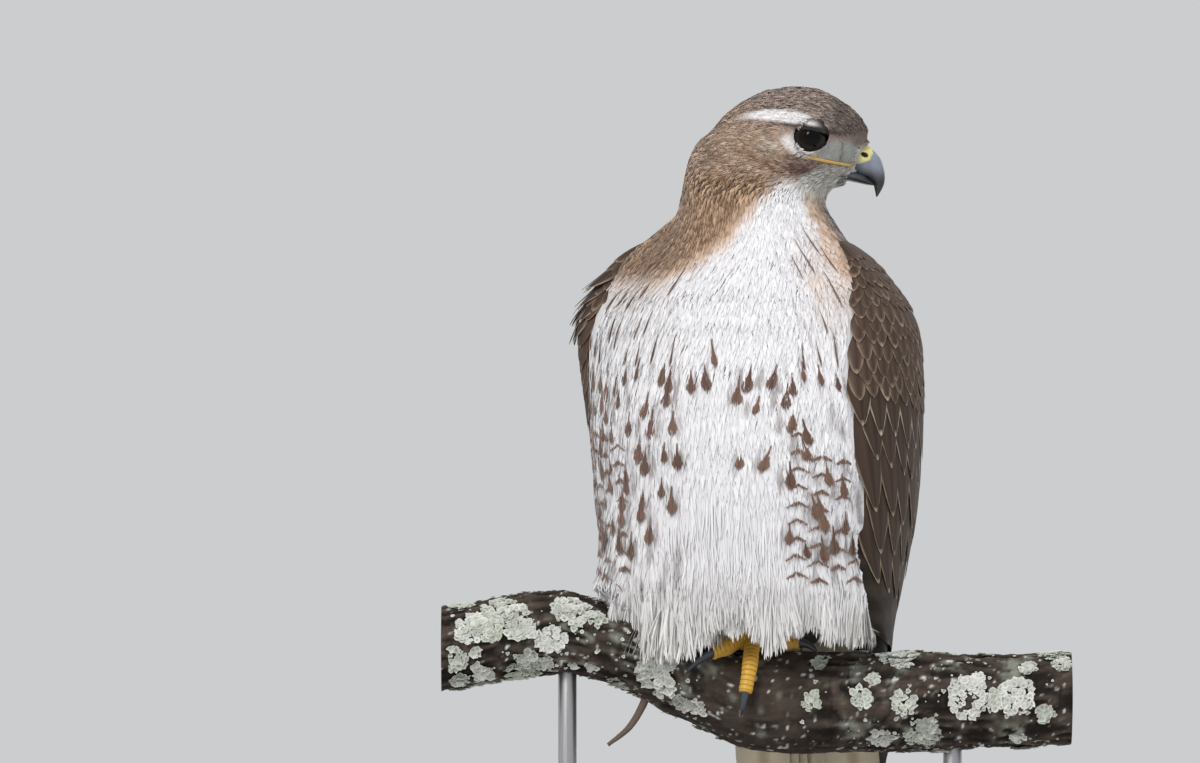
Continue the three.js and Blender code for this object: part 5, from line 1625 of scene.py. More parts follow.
class HAWK_OT_bill(bpy.types.Operator):
    """Makes the bill's two halves, the cere with its nostrils, and the yellow edge of the mouth"""

    bl_idname = "hawk.bill"
    bl_label = "Bill"

    def execute(self, context):
        horn = horn_material()
        cere_skin = flesh_material("cere", 1400, 0.00008, 0.4)
        points, faces = bill_solid(BILL, 150, 0.3)
        tints = self.horn_tints(points)
        upper = self.piece("bill_upper_horn", self.nostrils(points, 0.7), faces, horn, "horn", tints)
        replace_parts(upper, "bill_upper")
        form = self.cere_form(points)
        cere = self.piece("cere_skin", form, faces, cere_skin, "cere", self.cere_tints(points))
        before = placed(from_head(np.array([34.2, 0, 0])))
        cut_away(cere, before, turned(turned(np.array([1.0, 0, 0]), HEAD_TURN), -CHEST_TURN))
        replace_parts(cere, "cere")
        points, faces = bill_solid(LOWER_BILL, 60, 0)
        lower = self.piece("bill_lower_horn", points, faces, horn, "horn", self.horn_tints(points))
        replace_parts(lower, "bill_lower")
        self.mouth(cere_skin)
        return {"FINISHED"}

    def piece(self, name, points, faces, material, slot, tint):
        return lay_mesh(name, from_head(points), faces, material, tint=tint)

    def horn_tints(self, points):
        """Pale blue-grey at the bill's base, near black at its tip and along its lower edges."""
        x, z = points[:, 0], points[:, 2]
        fall = ramp(-z, 15, 25)
        base = mix(tone("horn_pale"), tone("horn_dark"), fall)
        ridge = ramp(x + 0.35 * (z + 12), 30, 35) * ramp(-z, 22, 12)
        base = mix(base, tone("horn_pale") * 1.5, 0.5 * ridge)
        return mix(base, tone("horn_pale"), 0.4 * lumps(points, 3, 4) * (1 - fall))

    def nostril_place(self, points):
        """How far a place is from the middle of the nostril on its side, 1 at its rim, and that side."""
        ahead = (points[:, 0] - NOSTRIL["x"]) / NOSTRIL["long"]
        up = (points[:, 2] - NOSTRIL["z"] + 0.25 * (points[:, 0] - NOSTRIL["x"])) / NOSTRIL["high"]
        return np.hypot(ahead, up), np.sign(points[:, 1]) * (np.abs(points[:, 1]) > 2.0)

    def nostrils(self, points, extra=0.0):
        hole, side = self.nostril_place(points)
        dent = (NOSTRIL["deep"] + extra) * ramp(hole, 1.15 + 0.3 * extra, 0.45)
        rim = 0.22 * np.exp(-(((hole - 1.4) / 0.3) ** 2)) * (extra == 0)
        sunk = points.copy()
        sunk[:, 1] += side * (rim - dent)
        return sunk

    def cere_form(self, points):
        """The bill's form swollen where the cere is and sunk below the horn elsewhere."""
        front = np.interp(points[:, 2], *CERE["front"]) - points[:, 0]
        above = points[:, 2] - np.interp(points[:, 0], *CERE["low"])
        inside = np.minimum(front, above) + 0.35 * lumps(points, 1.8, 3)
        away = points - np.stack([points[:, 0], 0 * points[:, 0], np.full(len(points), -11.5)], -1)
        swell = CERE["swell"] * ramp(inside, 0, 1.1) - CERE["sunk"] * ramp(inside, 0.25, -0.25)
        form = points + unit(away) * (swell + 0.1 * lumps(points, 2.2, 3))[:, None]
        return self.nostrils(form)

    def cere_tints(self, points):
        hole, side = self.nostril_place(points)
        base = mix(tone("cere"), tone("cere_pale"), 0.5 + 0.5 * lumps(points, 3, 8))
        base = mix(base, tone("lore"), 0.5 * ramp(points[:, 2], -11.5, -14.5))
        # Painted shade: the nostrils' holes are tinted near black.
        return mix(base, tone("dark") * 0.4, ramp(hole, 1.15, 0.8) * (side != 0))

    def mouth(self, material):
        """The fleshy edge of the mouth on both sides, two thin lips that run back from the bill."""
        solids, tints = [], []
        for side in (1, -1):
            for drop, thick in ((0.25, 0.42), (-0.45, 0.34)):
                line = smooth_path([(x, 0, z + drop) for x, z in MOUTH], 40)
                half = np.interp(line[:, 0], (-4, 4, 11, 18, 24), (26.8, 25.6, 21.8, 15.2, 9.0))
                line[:, 1] = side * half
                near, normal = SKIN["surface"].nearest(from_head(line))
                near = to_head(near + normal * 0.75)
                ahead = ramp(line[:, 0], 17, 22)[:, None]
                line = near * (1 - ahead) + (line + (0, -side * 0.4, 0)) * ahead
                size = thick * (0.3 + 0.8 * np.sin(np.pi * np.linspace(0.04, 0.86, 40)))
                points, faces = closed(rings(np.column_stack([line, size * 1.2, size]), (0, side, 0), 12))
                solids.append((points, faces))
                glow = np.exp(-(((points[:, 0] - 9) / 6) ** 2))
                tints.append(mix(tone("gape"), tone("gape_warm"), glow))
        points, faces = joined(solids)
        self.piece("mouth_edge", points, faces, material, "cere", np.concatenate(tints))


# Feet

# Each toe of the foot that stands: places along the branch, degrees from its top and lift; thickness; claw
TOES = {
    "inner": ([(-4, 6, 3), (-12, 22, 2), (-20, 40, 1), (-27, 54, 0.5)], 4.8, 24),
    "middle": ([(-3, 6, 3), (-4.5, 30, 1), (-6, 58, 0.4), (-8.5, 84, 0)], 4.2, 17),
    "outer": ([(-2, 2, 3), (7, 2, 1.5), (15, 4, 0.5), (22, 8, 0.2)], 4.0, 14),
    "hind": ([(-2, -6, 3), (-1.5, -28, 1), (-1, -50, 0.4), (-1, -66, 0)], 4.6, 25),
}
# The clenched foot held up among the belly's feathers: its middle, then each toe's side, path (y, z),
# thickness and claw (length, way back, way up)
FIST = np.array([-29.0, -34.0, 26.0])
FIST_TOES = {
    "inner": (6.9, [(-3, 7.5), (-8.5, 4), (-9, -3), (-4, -8.5)], 3.2, (7, 0.6, 1)),
    "middle": (0, [(-3, 8.5), (-9.5, 5), (-10.5, -3), (-5.5, -9.5)], 3.3, (7, 0.6, 1)),
    "outer": (-6.9, [(-3, 7.5), (-8.5, 4), (-9, -3), (-4, -8.5)], 3.1, (7, 0.6, 1)),
    "hind": (2, [(4, 7), (10, 4), (12.5, -3), (11, -9)], 3.4, (10, -1, -0.25)),
}


def on_branch(points):
    """From the branch's frame, x along it and z up from the top at the foot, to the bird's."""
    return turned(np.asarray(points, float) + (4.0, 0, 0), CHEST_TURN)


def over_bark(x, turn, height):
    r = np.interp(x, [p[0] for p in PERCH], [p[2] for p in PERCH]) + height
    t = np.radians(turn)
    z = smooth_rows(PERCH, 1, x)
    return np.stack([x + 0 * t, -r * np.sin(t), z + r * np.cos(t)], -1)


TOE_RINGS = 150


def scaled_toe(path, thick, away):
    """A toe along a path with rows of scutes over it and pads under it; away points from the bark."""
    line = smooth_path(path, TOE_RINGS)
    s = np.linspace(0, 1, TOE_RINGS)[:, None]
    size = thick * (1.12 - 0.24 * s) * (1 + 0.05 * np.sin(s * 13))
    along = s * np.linalg.norm(np.diff(line, axis=0), axis=1).sum()
    way = unit(np.gradient(line, axis=0))
    out = unit(away - way * dot(away, way))
    turn = np.linspace(0, 2 * math.pi, 36, endpoint=False)[None]
    up = np.cos(turn)
    tooth = (along / 2.6) % 1
    plate = (0.2 + 0.42 * ramp(tooth, 0, 0.25) * ramp(tooth, 1.0, 0.82)) * ramp(up, 0.05, 0.45)
    grain = 0.16 * np.abs(np.sin(along / 0.75) * np.sin(turn * 9)) * ramp(up, 0.3, -0.1)
    pads = 0.9 * np.exp(-(((s - 0.3) / 0.12) ** 2)) + 0.9 * np.exp(-(((s - 0.72) / 0.14) ** 2))
    r = size * 0.96 + plate + grain + pads * ramp(up, -0.2, -0.9)
    close = np.sqrt(np.clip((1 - s) / 0.035, 0, 1)) * np.sqrt(np.clip(s / 0.03 + 0.1, 0, 1))
    ring = out[:, None] * up[..., None] + np.cross(way, out)[:, None] * np.sin(turn)[..., None]
    points, faces = closed(line[:, None] + ring * (r * np.maximum(close, 0.05))[..., None])
    groove = ramp(tooth, 0.12, 0.02) + ramp(1 - tooth, 0.12, 0.02)
    base = mix(tone("toe"), tone("toe_pale"), 0.5 * ramp(up, 0.1, -0.6) + 0 * s)
    base = mix(base, tone("toe_dark"), np.clip(groove * ramp(up, -0.1, 0.4), 0, 1) * 0.75)
    return points, [f[:, ::-1] for f in faces], np.concatenate([base.reshape(-1, 3), base[[0, -1], 0]])


def curved_claw(start, way, down, long, thick):
    s = np.linspace(0, 1, 26)[:, None]
    ahead = start + way * long * s * (1 - 0.25 * s) + down * long * 0.42 * s**2
    size = np.maximum(0.12, thick * (1 - s[:, 0]) ** 0.72)
    rows = np.column_stack([ahead, size * 0.82, size])
    side = np.cross(way, down)
    points, faces = closed(rings(rows, side, 20))
    share = np.concatenate([np.repeat(s[:, 0], 20), [0, 1]])
    return points, faces, mix(tone("claw_base"), tone("claw"), ramp(share, 0.0, 0.4))


class HAWK_OT_feet(bpy.types.Operator):
    """Makes the foot that grips the branch and the clenched one, with their scutes and claws"""

    bl_idname = "hawk.feet"
    bl_label = "Feet"

    def execute(self, context):
        skin = flesh_material("toe skin", 1500, 0.0001, 0.42)
        horn = bpy.data.materials["horn"]
        self.standing(skin, horn)
        self.clenched(skin, horn)
        return {"FINISHED"}

    def lay(self, name, solids, material, slot, node):
        points, faces = joined([(p, f) for p, f, _ in solids])
        piece = lay_mesh(name, points, faces, material, tint=np.concatenate([t for _, _, t in solids]))
        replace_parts(piece, node)

    def standing(self, skin, horn):
        solids = []
        shank = on_branch(over_bark(np.full(4, -3.0), np.array([2, 1, 0, 0]), np.array([40, 20, 9, 4])))
        solids.append(scaled_toe(shank[::-1], 5.4, np.array([0, -1.0, 0])))
        for name, (places, thick, long) in TOES.items():
            at = np.array(places, float)
            path = on_branch(over_bark(at[:, 0], at[:, 1], thick + 0.5 + at[:, 2]))
            ground = smooth_path(on_branch(over_bark(at[:, 0], at[:, 1], 0 * at[:, 0])), TOE_RINGS)
            line = smooth_path(path, TOE_RINGS)
            solids.append(scaled_toe(path, thick, unit(line - ground)))
            way = unit(line[-1] - line[-3])
            down = unit(ground[-1] - line[-1])
            claw = curved_claw(line[-1] - way * 1.6 - down * 0.2, way, down, long + 1.6, thick * 0.74)
            self.lay(f"claw_{name}_standing", [claw], horn, "horn", "claw_left_" + name)
        self.lay("foot_standing", solids, skin, "foot_skin", "foot_left")

    def clenched(self, skin, horn):
        shank = FIST + np.array([(1, 24, 10), (0.5, 16, 10), (0, 8, 8), (0, 2, 5)], float)
        solids = [scaled_toe(shank, 5.2, np.array([0, -0.3, 1.0]))]
        for name, (side, path, thick, (long, back, rise)) in FIST_TOES.items():
            points = FIST + np.array([(side, y, z) for y, z in path], float)
            away = unit(smooth_path(points, TOE_RINGS) - FIST - (side, 0, 0))
            solids.append(scaled_toe(points, thick, away))
            way = unit(points[3] - points[2])
            down = unit(np.array([0, 0.6 if back > 0 else -1, rise]))
            claw = curved_claw(points[3] - way * 1.2, way, down, long + 1.2, thick * 0.7)
            self.lay(f"claw_{name}_clenched", [claw], horn, "horn", "claw_right_" + name)
        self.lay("foot_clenched", solids, skin, "foot_skin", "foot_right")


# The branch

TWIG = [(-57, -4, -14, 2.6), (-64, -5, -31, 2.1), (-71, -6, -42, 1.7), (-82, -6, -51, 1.0)]


def bark_relief(x, turn):
    """Height of the bark over the branch's plain round form: plates parted by furrows that run along it."""
    r = 26
    p = np.stack([x / 3.2, r * np.cos(turn), r * np.sin(turn)], -1)
    warp = lumps(p, 9, 41) * 2.2
    q = p + warp[..., None] * np.array([0, 0.7, -0.7])
    ridge = 1 - np.abs(lumps(q, 5.2, 42))
    fine = lumps(p * (1.6, 1, 1), 2.2, 43)
    finest = lumps(p * (3.2, 1, 1), 1.1, 44)
    cracks = ramp(np.abs(lumps(p * (3.4, 0.6, 0.6), 6, 45)), 0.0, 0.10)
    calm = 0.45 + 0.55 * ramp(np.abs(x + 4), 22, 50)
    return calm * (1.6 * (ridge**2 - 0.75) + 0.5 * fine + 0.28 * finest - 0.5 * (1 - cracks))


def branch_place(x, turn, lift):
    r = np.interp(x, [p[0] for p in PERCH], [p[2] for p in PERCH])
    calm = np.minimum(1, np.abs(x + 4) / 60)
    waves = 0.022 * np.sin(x / 11 + 2 * turn) + 0.02 * np.sin(x / 19 - 3 * turn + 1)
    waves = waves + 0.012 * np.sin(x / 6 + 5 * turn)
    r = r * (1 + calm * waves) + lift
    return np.stack([x, r * np.sin(turn), smooth_rows(PERCH, 1, x) + r * np.cos(turn)], -1)


def bark_material():
    """Rough furrowed bark; the tint of its points tells ridges, furrows and lichen apart."""
    paint = Paint("bark", roughness=0.9, specular_ior_level=0.2)
    grit = paint.grain(300, 1500, 1500, 4) * 0.6 + paint.grain(2200, 2600, 2600) * 0.4
    return paint.set(base_color=paint.tinted(0.45, 1.55, grit), normal=paint.bump(grit, 0.0007)).material


def lichen_material():
    paint = Paint("lichen", roughness=0.95, specular_ior_level=0.1)
    return paint.set(base_color=paint.tinted(0.6, 1.35, paint.grain(1800, 1800, 1800))).material


class HAWK_OT_branch(bpy.types.Operator):
    """Makes the cut branch with its furrowed bark, lichen and dead twig"""

    bl_idname = "hawk.branch"
    bl_label = "Branch"

    def execute(self, context):
        x = np.linspace(PERCH[0][0], PERCH[-1][0], 300)[:, None]
        turn = np.linspace(0, 2 * math.pi, 132, endpoint=False)[None]
        x, turn = x + 0 * turn, turn + 0 * x
        relief = bark_relief(x, turn)
        body = branch_place(x, turn, relief * ramp(np.abs(x - x.mean()), 170, 168.5) - 0.4)
        shrink = np.linspace(0.97, 0.05, 16)[:, None, None]
        low, high = (body[k].mean(0) + (body[k] - body[k].mean(0)) * shrink for k in (0, -1))
        log = closed(np.concatenate([low[::-1], body, high]))
        grain = 1 + 0.25 * np.sin(16 * shrink + lumps(low, 9, 56)[..., None])
        grain = grain + 0.2 * lumps(low, 2.5, 57)[..., None]
        wood = tone("cut_wood") * (grain - 0.35 * ramp(shrink, 0.9, 0.95))
        twig, twig_faces = tube(TWIG, 12, 40)
        twig = twig + 0.25 * lumps(twig, 2.2, 55)[:, None]
        points, faces = joined([log, (twig, twig_faces)])
        tints = (wood[::-1], self.bark_tints(x, turn, relief), wood, wood[-1, :1], wood[-1, :1],
                 np.broadcast_to(tone("twig"), twig.shape))
        tint = np.concatenate([part.reshape(-1, 3) for part in tints])
        branch = lay_mesh("branch", on_branch(points), faces, bark_material(), tint=tint)
        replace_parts(branch, "perch")
        self.flakes()
        return {"FINISHED"}

    def bark_tints(self, x, turn, relief):
        """Dark furrows, pale ridges, crusts of lichen and white specks."""
        flat = np.stack([x, 26 * np.cos(turn), 26 * np.sin(turn)], -1)
        base = mix(tone("bark_furrow"), tone("bark"), ramp(relief, -1.2, 0.3))
        base = mix(base, tone("bark_ridge"), 0.8 * ramp(relief, 0.2, 1.1))
        crust = ramp(lumps(flat, 17, 51) + 0.5 * lumps(flat, 5, 52), 0.15, 0.6) * ramp(relief, -0.9, 0.2)
        base = mix(base, tone("lichen"), 0.65 * crust)
        speck = ramp(lumps(flat, 2.1, 53), 0.55, 0.75) * (lumps(flat, 21, 54) > -0.3)
        return mix(base, tone("speckle"), 0.85 * speck * ramp(relief, -1, 0))

    def flakes(self):
        """Leafy lichen: rosettes of small lobes on the bark, and loose scraps between them."""
        rng = np.random.default_rng(60)
        rosettes, scraps = 150, 600
        x0 = -166 + 328 * rng.random(rosettes) ** 1.3
        turn0 = rng.uniform(-math.pi, math.pi, rosettes)
        wide = 2.5 + 9 * rng.random(rosettes) ** 1.8
        lobes = (wide**2 * 0.85).astype(int) + 4
        owner = np.repeat(np.arange(rosettes), lobes)
        rho = wide[owner] * np.sqrt(rng.random(len(owner)))
        away = rng.uniform(-math.pi, math.pi, len(owner))
        x = np.concatenate([x0[owner] + rho * np.cos(away), rng.uniform(-168, 164, scraps)])
        lobe_turn = turn0[owner] + rho * np.sin(away) / 26
        turn = np.concatenate([lobe_turn, rng.uniform(-math.pi, math.pi, scraps)])
        heading = np.concatenate([away, rng.uniform(-math.pi, math.pi, scraps)])
        size = np.concatenate([rng.uniform(1.0, 2.3, len(owner)), 0.4 + 1.0 * rng.random(scraps) ** 2])
        green = np.concatenate([rng.random(rosettes)[owner], rng.random(scraps)])
        keep = (np.abs(x) < 167) & ((np.abs(x + 4) > 26) | (np.abs(np.degrees(turn) - 180) < 90))
        part = self.lobes(*(v[keep] for v in (x, turn, heading, size, green)), rng)
        coat_piece("lichen", lichen_material(), [part])

    def lobes(self, x, turn, heading, size, green, rng):
        """Wavy discs on the bark that rise towards their heading, as a part for coat_piece."""
        n = len(x)
        middle = branch_place(x, turn, np.maximum(bark_relief(x, turn), -0.4) - 0.2)
        out = unit(middle - branch_place(x, turn, np.full(n, -20.0)))[:, None, None]
        along = np.array([1.0, 0, 0])
        side = np.cross(out, along)
        wide = size[:, None, None, None]
        a = np.linspace(0, 2 * math.pi, 9)[None, None, :, None]
        rho = np.array([0.15, 0.65, 1.0])[None, :, None, None]
        draw = rng.random((5, n, 1, 1, 1))
        shape = 1 + (0.1 + 0.2 * draw[0]) * np.sin(3 * a + 6 * draw[1]) * rho
        shape = shape + 0.14 * np.sin(5 * a + 6 * draw[2]) * rho
        up = np.cos(a - heading[:, None, None, None])
        height = 0.2 + wide * rho**2 * (0.12 + 0.3 * draw[3] + 0.3 * up) + 0.1 * np.sin(6 * a) * rho * wide
        flatways = along * np.cos(a) + side * np.sin(a)
        points = middle[:, None, None] + flatways * wide * rho * shape + out * height * 0.6
        rim = mix(tone("lichen_edge"), tone("speckle"), green)[:, None, None]
        heart = mix(tone("lichen"), tone("lichen_edge"), green)[:, None, None] * 0.6
        tint = (heart * (1 - rho) + rim * rho) * (0.8 + 0.35 * draw[4]) * np.ones_like(a)
        return on_branch(middle), on_branch(points), size, size, tint, np.array([0.1, 0.6, 1.0])


# The stand

def board_material():
    """Dark satin wood with grain along the board."""
    paint = Paint("board wood", roughness=0.35, coat_weight=0.3, coat_roughness=0.2)
    grain = paint.grain(14, 420, 420, 4)
    wide = (paint.grain(1.6, 26, 26, 2) * 5 + paint.grain(3, 9, 9, 2) * 3).sine() * 0.5 + 0.5
    share = (grain * 0.65 + wide * 0.35).between(0.2, 0.85)
    tint = paint.blend(share, tuple(tone("board_dark")), tuple(tone("board_light")))
    return paint.set(base_color=tint, normal=paint.bump(grain, 0.00012)).material


def steel_material():
    paint = Paint("brushed steel", roughness=0.32, metallic=1.0)
    brushed = paint.grain(2500, 2500, 40)
    tint = paint.blend(brushed, (0.34, 0.34, 0.35), (0.6, 0.6, 0.61))
    rough = brushed * 0.22 + 0.24
    return paint.set(base_color=tint, roughness=rough, normal=paint.bump(brushed, 0.00002)).material


class HAWK_OT_stand(bpy.types.Operator):
    """Makes the flat wooden base with its rounded edges and the two steel rods"""

    bl_idname = "hawk.stand"
    bl_label = "Stand"

    def execute(self, context):
        sizes = context.scene.hawk_sizes
        self.board(sizes)
        steel = steel_material()
        for side in ("left", "right"):
            self.rod(side, steel)
        return {"FINISHED"}

    def finish(self, piece, material, node, slot):
        bpy.ops.object.shade_smooth_by_angle(angle=math.radians(40))
        piece.data.materials.append(material)
        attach(piece, "root")
        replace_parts(piece, node)

    def board(self, sizes):
        low, high = (np.array(corner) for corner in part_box("stand_base"))
        middle, size = (low + high) / 2, high - low
        board = primitive("cube", "base_board", size=1, location=middle, scale=size)
        self.bevel(board, sizes.corner, 12, lambda a, b: abs(a.z - b.z) > size[2] / 2)
        self.bevel(board, sizes.edge, 5, lambda a, b: abs(a.z - b.z) < 1e-6 and a.z > middle[2])
        self.finish(board, board_material(), "stand_base", "board")

    def rod(self, side, steel):
        low, high = (np.array(corner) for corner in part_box("stand_rod_" + side))
        wide, _, tall = high - low
        rod = primitive("cylinder", "rod_" + side, vertices=48, radius=wide / 2, depth=tall,
                        location=(low + high) / 2)
        self.bevel(rod, 0.0006, 2, lambda a, b: abs(a.z - b.z) < 1e-6)
        self.finish(rod, steel, "stand_rod_" + side, "steel")

    def bevel(self, piece, width, segments, wanted):
        """Rounds the edges for which wanted(one end, other end) is true."""
        pick(piece)
        mesh = piece.data
        for kind in (mesh.vertices, mesh.polygons):
            kind.foreach_set("select", np.zeros(len(kind), bool))
        for edge in mesh.edges:
            a, b = (mesh.vertices[v].co for v in edge.vertices)
            edge.select = bool(wanted(a, b))
        bpy.context.tool_settings.mesh_select_mode = (False, True, False)
        bpy.ops.object.mode_set(mode="EDIT")
        bpy.ops.mesh.bevel(offset=width, segments=segments, affect="EDGES")
        bpy.ops.object.mode_set(mode="OBJECT")


# Stage

class HAWK_OT_stage(bpy.types.Operator):
    """Makes the camera, the lights and the pale floor"""

    bl_idname = "hawk.stage"
    bl_label = "Stage"

    def execute(self, context):
        settings = context.scene.hawk_stage
        context.scene.view_settings.view_transform = "Standard"
        context.scene.view_settings.look = "None"
        self.camera(context)
        self.floor(settings)
        self.world(context, settings)
        self.lamp("key", (-1.1, -1.9, 1.9), 0.9, settings.key, (1.0, 0.98, 0.95))
        self.lamp("fill", (1.8, -1.5, 0.9), 1.8, settings.fill, (0.96, 0.98, 1.0), False)
        self.lamp("rim", (0.9, 1.5, 1.6), 1.0, settings.rim, (1.0, 0.99, 0.96), False)
        return {"FINISHED"}

    def camera(self, context):
        """A camera level with the middle of the photo, far off, that shows the photo's whole frame."""
        data = bpy.data.cameras.new("camera")
        distance, pixel = 7.0, PHOTO["pixel"] * MM
        data.sensor_width = 36
        data.lens = 36 * distance / (PHOTO["width"] * pixel)
        data.clip_end = 200
        camera = linked("camera", data)
        x = (PHOTO["width"] / 2 - PHOTO["left"]) * pixel
        z = BODY_PLACE[2] * MM + (PHOTO["top"] - PHOTO["height"] / 2) * pixel
        camera.location = (x, -distance + BODY_PLACE[1] * MM, z)
        camera.rotation_euler = (math.pi / 2, 0, 0)
        context.scene.camera = camera

    def floor(self, settings):
        """A pale floor that turns into the backdrop's colour away from the model."""
        floor = primitive("circle", "floor", vertices=96, radius=90, fill_type="NGON")
        paint = Paint("pale floor", roughness=0.9, base_color=(0.62, 0.62, 0.62, 1))
        place = paint.node("ShaderNodeTexCoord", {}, {}, "Object")
        far = paint.node("ShaderNodeVectorMath", {"operation": "LENGTH"}, {0: place}, 1).between(1.2, 3.5)
        glow = paint.node("ShaderNodeEmission", {}, {"Color": tuple(settings.backdrop), "Strength": 1.0})
        surface = Wire(paint, paint.shader.outputs[0])
        both = paint.node("ShaderNodeMixShader", {}, {0: far, 1: surface, 2: glow})
        paint.join(both, paint.tree.nodes["Material Output"].inputs[0])
        floor.data.materials.append(paint.material)

    def world(self, context, settings):
        world = bpy.data.worlds.new("backdrop")
        world.use_nodes = True
        background = world.node_tree.nodes["Background"]
        background.inputs["Color"].default_value = (*settings.backdrop, 1)
        background.inputs["Strength"].default_value = 1.0
        context.scene.world = world

    def lamp(self, name, place, size, power, colour_, glossy=True):
        data = bpy.data.lights.new(name, "AREA")
        data.size = size
        data.energy = power
        data.color = colour_
        lamp = linked(name, data)
        lamp.location = place
        lamp.rotation_euler = (Vector((0, 0, 0.33)) - Vector(place)).to_track_quat("-Z", "Y").to_euler()
        lamp.visible_glossy = glossy


# Settings and panel

def tint_property(name, words, rgb):
    label = name.replace("_", " ").capitalize()
    return bpy.props.FloatVectorProperty(name=label, description=words, subtype="COLOR", min=0, max=1,
                                         default=tuple(srgb(*rgb)))


def size_property(label, words, millimetres):
    return bpy.props.FloatProperty(name=label, description=words, default=millimetres * MM, unit="LENGTH",
                                   subtype="DISTANCE", min=0.0001, precision=5)


def power_property(label, words, watts):
    return bpy.props.FloatProperty(name=label, description=words, default=watts, subtype="POWER")


class HawkSizes(bpy.types.PropertyGroup):
    skin_voxel: size_property("Skin voxel", "Fineness of the skin's mesh", 1.9)
    skin_smoothing: bpy.props.IntProperty(name="Skin smoothing", description="Passes of smoothing",
                                          default=14, min=1)
    coat_depth: size_property("Coat depth", "How far the skin lies inside the solids", 3.0)
    breast_spacing: size_property("Breast spacing", "Space between the vanes of breast and belly", 1.55)
    hem_spacing: size_property("Hem spacing", "Space between the plumes of the hem", 1.2)
    head_spacing: size_property("Head spacing", "Space between the vanes of the head", 1.05)
    face_spacing: size_property("Face spacing", "Space between the bristles of the lores", 0.62)
    corner: size_property("Base corner", "Radius of the base's corners", 24)
    edge: size_property("Base edge", "Radius of the base's upper edge", 2)


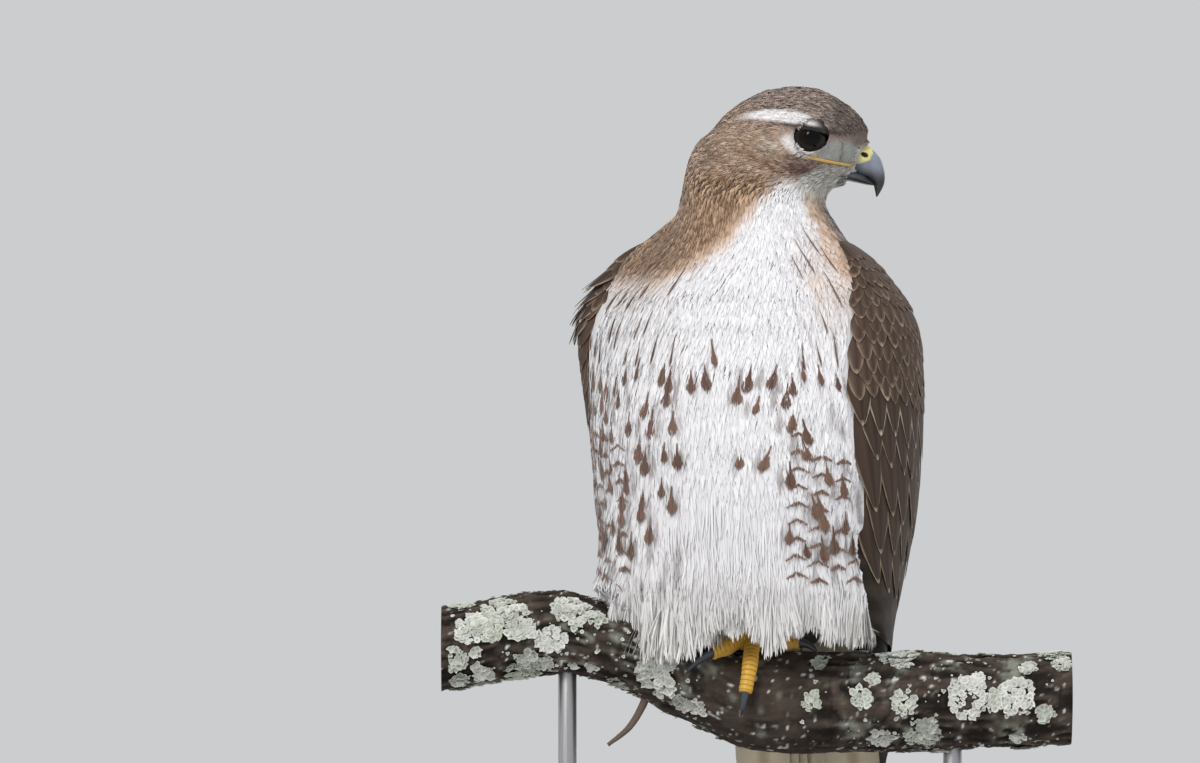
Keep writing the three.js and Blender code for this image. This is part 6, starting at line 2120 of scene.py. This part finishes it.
# Every colour: its name, what it is for, and red, green and blue from 0 to 255
COLOURS = (
    ("white", "Breast and belly", 230, 229, 232),
    ("cream", "Thighs and lower belly", 214, 210, 198),
    ("wash", "Sides of the breast", 206, 176, 152),
    ("spot_edge", "Paler edges of the marks", 136, 106, 90),
    ("spot", "Marks of the belly band", 84, 60, 50),
    ("crown_dark", "Middle of the crown's feathers", 74, 53, 47),
    ("crown_pale", "Edge of the crown's feathers", 204, 182, 168),
    ("forehead_dark", "Middle of the forehead's feathers", 62, 46, 41),
    ("forehead_pale", "Edge of the forehead's feathers", 146, 126, 114),
    ("nape_dark", "Middle of the nape's feathers", 112, 82, 66),
    ("nape_pale", "Edge of the nape's feathers", 206, 182, 160),
    ("ear_dark", "Middle of the ear coverts", 118, 86, 64),
    ("ear_pale", "Edge of the ear coverts", 200, 174, 150),
    ("side_dark", "Middle of the neck's side feathers", 92, 63, 44),
    ("side_pale", "Edge of the neck's side feathers", 194, 163, 132),
    ("malar", "The dark streak below the mouth", 72, 52, 46),
    ("malar_edge", "Edge of the dark streak's feathers", 118, 94, 84),
    ("brow_pale", "The pale stripe over the eye", 230, 227, 226),
    # Painted shade: this tint also darkens the brow feathers' lower edge and the nostrils' holes.
    ("dark", "Shadow lines round the eye", 44, 38, 36),
    ("lore", "Between the eye and the bill", 150, 151, 146),
    ("throat", "Throat and chin", 204, 204, 198),
    ("throat_dark", "Middle of the throat's feathers", 150, 146, 138),
    ("wing_dark", "The wings' long feathers", 44, 34, 26),
    ("wing_mid", "The wings' small feathers", 66, 50, 40),
    ("mantle_edge", "Edges of the back's feathers", 150, 130, 114),
    ("primary", "Outer parts of the flight feathers", 30, 27, 22),
    ("lesser", "The wing's smallest feathers", 80, 62, 51),
    ("edge_pale", "Fine edges of the wing's feathers", 174, 154, 132),
    ("edge_white", "Broad edges of the coverts and scapulars", 196, 180, 164),
    ("bar_dark", "Bars of the secondaries", 88, 74, 62),
    ("mottle", "Pale marks of the scapulars", 176, 158, 138),
    ("tail_top", "The rufous upper side", 150, 78, 48),
    ("tail_band", "The band before the tip", 44, 26, 18),
    ("tail_tip", "The pale tip", 208, 180, 150),
    ("tail_under", "The under side", 226, 214, 188),
    ("tail_wash", "The band seen from below", 196, 172, 140),
    ("iris", "The eye round its pupil", 15, 10, 7),
    ("pupil", "The eye's middle", 5, 4, 4),
    # The lid's dark is the bare skin's own colour and also painted shade under the brow.
    ("lid", "Bare skin round the eye", 30, 26, 25),
    ("horn_pale", "The bill's base", 112, 117, 130),
    ("horn_dark", "The bill's tip", 28, 29, 34),
    ("cere", "Skin over the bill's base", 198, 186, 112),
    ("cere_pale", "Paler parts of the cere", 216, 210, 158),
    ("gape", "The fleshy edge of the mouth", 188, 166, 96),
    ("gape_warm", "Its warmest part", 204, 156, 76),
    ("toe", "Upper side of the toes", 208, 162, 62),
    ("toe_pale", "Under side of the toes", 206, 186, 120),
    ("toe_dark", "Between the scutes", 96, 72, 34),
    ("claw", "Claws", 18, 18, 22),
    ("claw_base", "Where a claw leaves its toe", 52, 52, 58),
    ("bark", "Bark between ridges and furrows", 74, 64, 57),
    ("bark_ridge", "The highest bark", 122, 112, 102),
    ("bark_furrow", "The lowest bark", 30, 25, 22),
    ("lichen", "Crusts and the middle of each leaf", 150, 157, 144),
    ("lichen_edge", "Edges of the leaves", 196, 201, 188),
    ("speckle", "White specks on the bark", 222, 222, 218),
    ("cut_wood", "The branch's sawn ends", 176, 140, 98),
    ("twig", "The dead twig", 104, 92, 80),
    ("board_dark", "Dark grain of the base", 52, 30, 19),
    ("board_light", "Light grain of the base", 104, 64, 40),
)


class HawkColours(bpy.types.PropertyGroup):
    __annotations__ = {name: tint_property(name, words, rgb) for name, words, *rgb in COLOURS}


class HawkStage(bpy.types.PropertyGroup):
    backdrop: bpy.props.FloatVectorProperty(name="Backdrop", description="Colour behind the bird",
                                            subtype="COLOR", default=(0.60, 0.61, 0.62), min=0, max=1)
    key: power_property("Key", "Power of the main light", 42)
    fill: power_property("Fill", "Power of the filling light", 16)
    rim: power_property("Rim", "Power of the light from behind", 22)


OPERATORS = (
    HAWK_OT_skin, HAWK_OT_body_coat, HAWK_OT_head_coat, HAWK_OT_wings, HAWK_OT_tail, HAWK_OT_eyes,
    HAWK_OT_bill, HAWK_OT_feet, HAWK_OT_branch, HAWK_OT_stand, HAWK_OT_stage,
)


class HAWK_PT_panel(bpy.types.Panel):
    bl_idname = "HAWK_PT_panel"
    bl_label = "Red-tailed hawk"
    bl_space_type = "VIEW_3D"
    bl_region_type = "UI"
    bl_category = "Hawk"

    def draw(self, context):
        for operator in OPERATORS:
            self.layout.operator(operator.bl_idname)
        for settings in (context.scene.hawk_sizes, context.scene.hawk_stage, context.scene.hawk_colours):
            for name in settings.__annotations__:
                self.layout.prop(settings, name)


GROUPS = {"hawk_sizes": HawkSizes, "hawk_colours": HawkColours, "hawk_stage": HawkStage}


def register():
    for item in (*GROUPS.values(), *OPERATORS, HAWK_PT_panel):
        bpy.utils.register_class(item)
    for name, group in GROUPS.items():
        setattr(bpy.types.Scene, name, bpy.props.PointerProperty(type=group))


def unregister():
    for name in GROUPS:
        delattr(bpy.types.Scene, name)
    for item in (HAWK_PT_panel, *reversed(OPERATORS), *reversed(GROUPS.values())):
        bpy.utils.unregister_class(item)


def main():
    register()
    for operator in OPERATORS:
        group, name = operator.bl_idname.split(".")
        getattr(getattr(bpy.ops, group), name)()


if __name__ == "__main__":
    main()
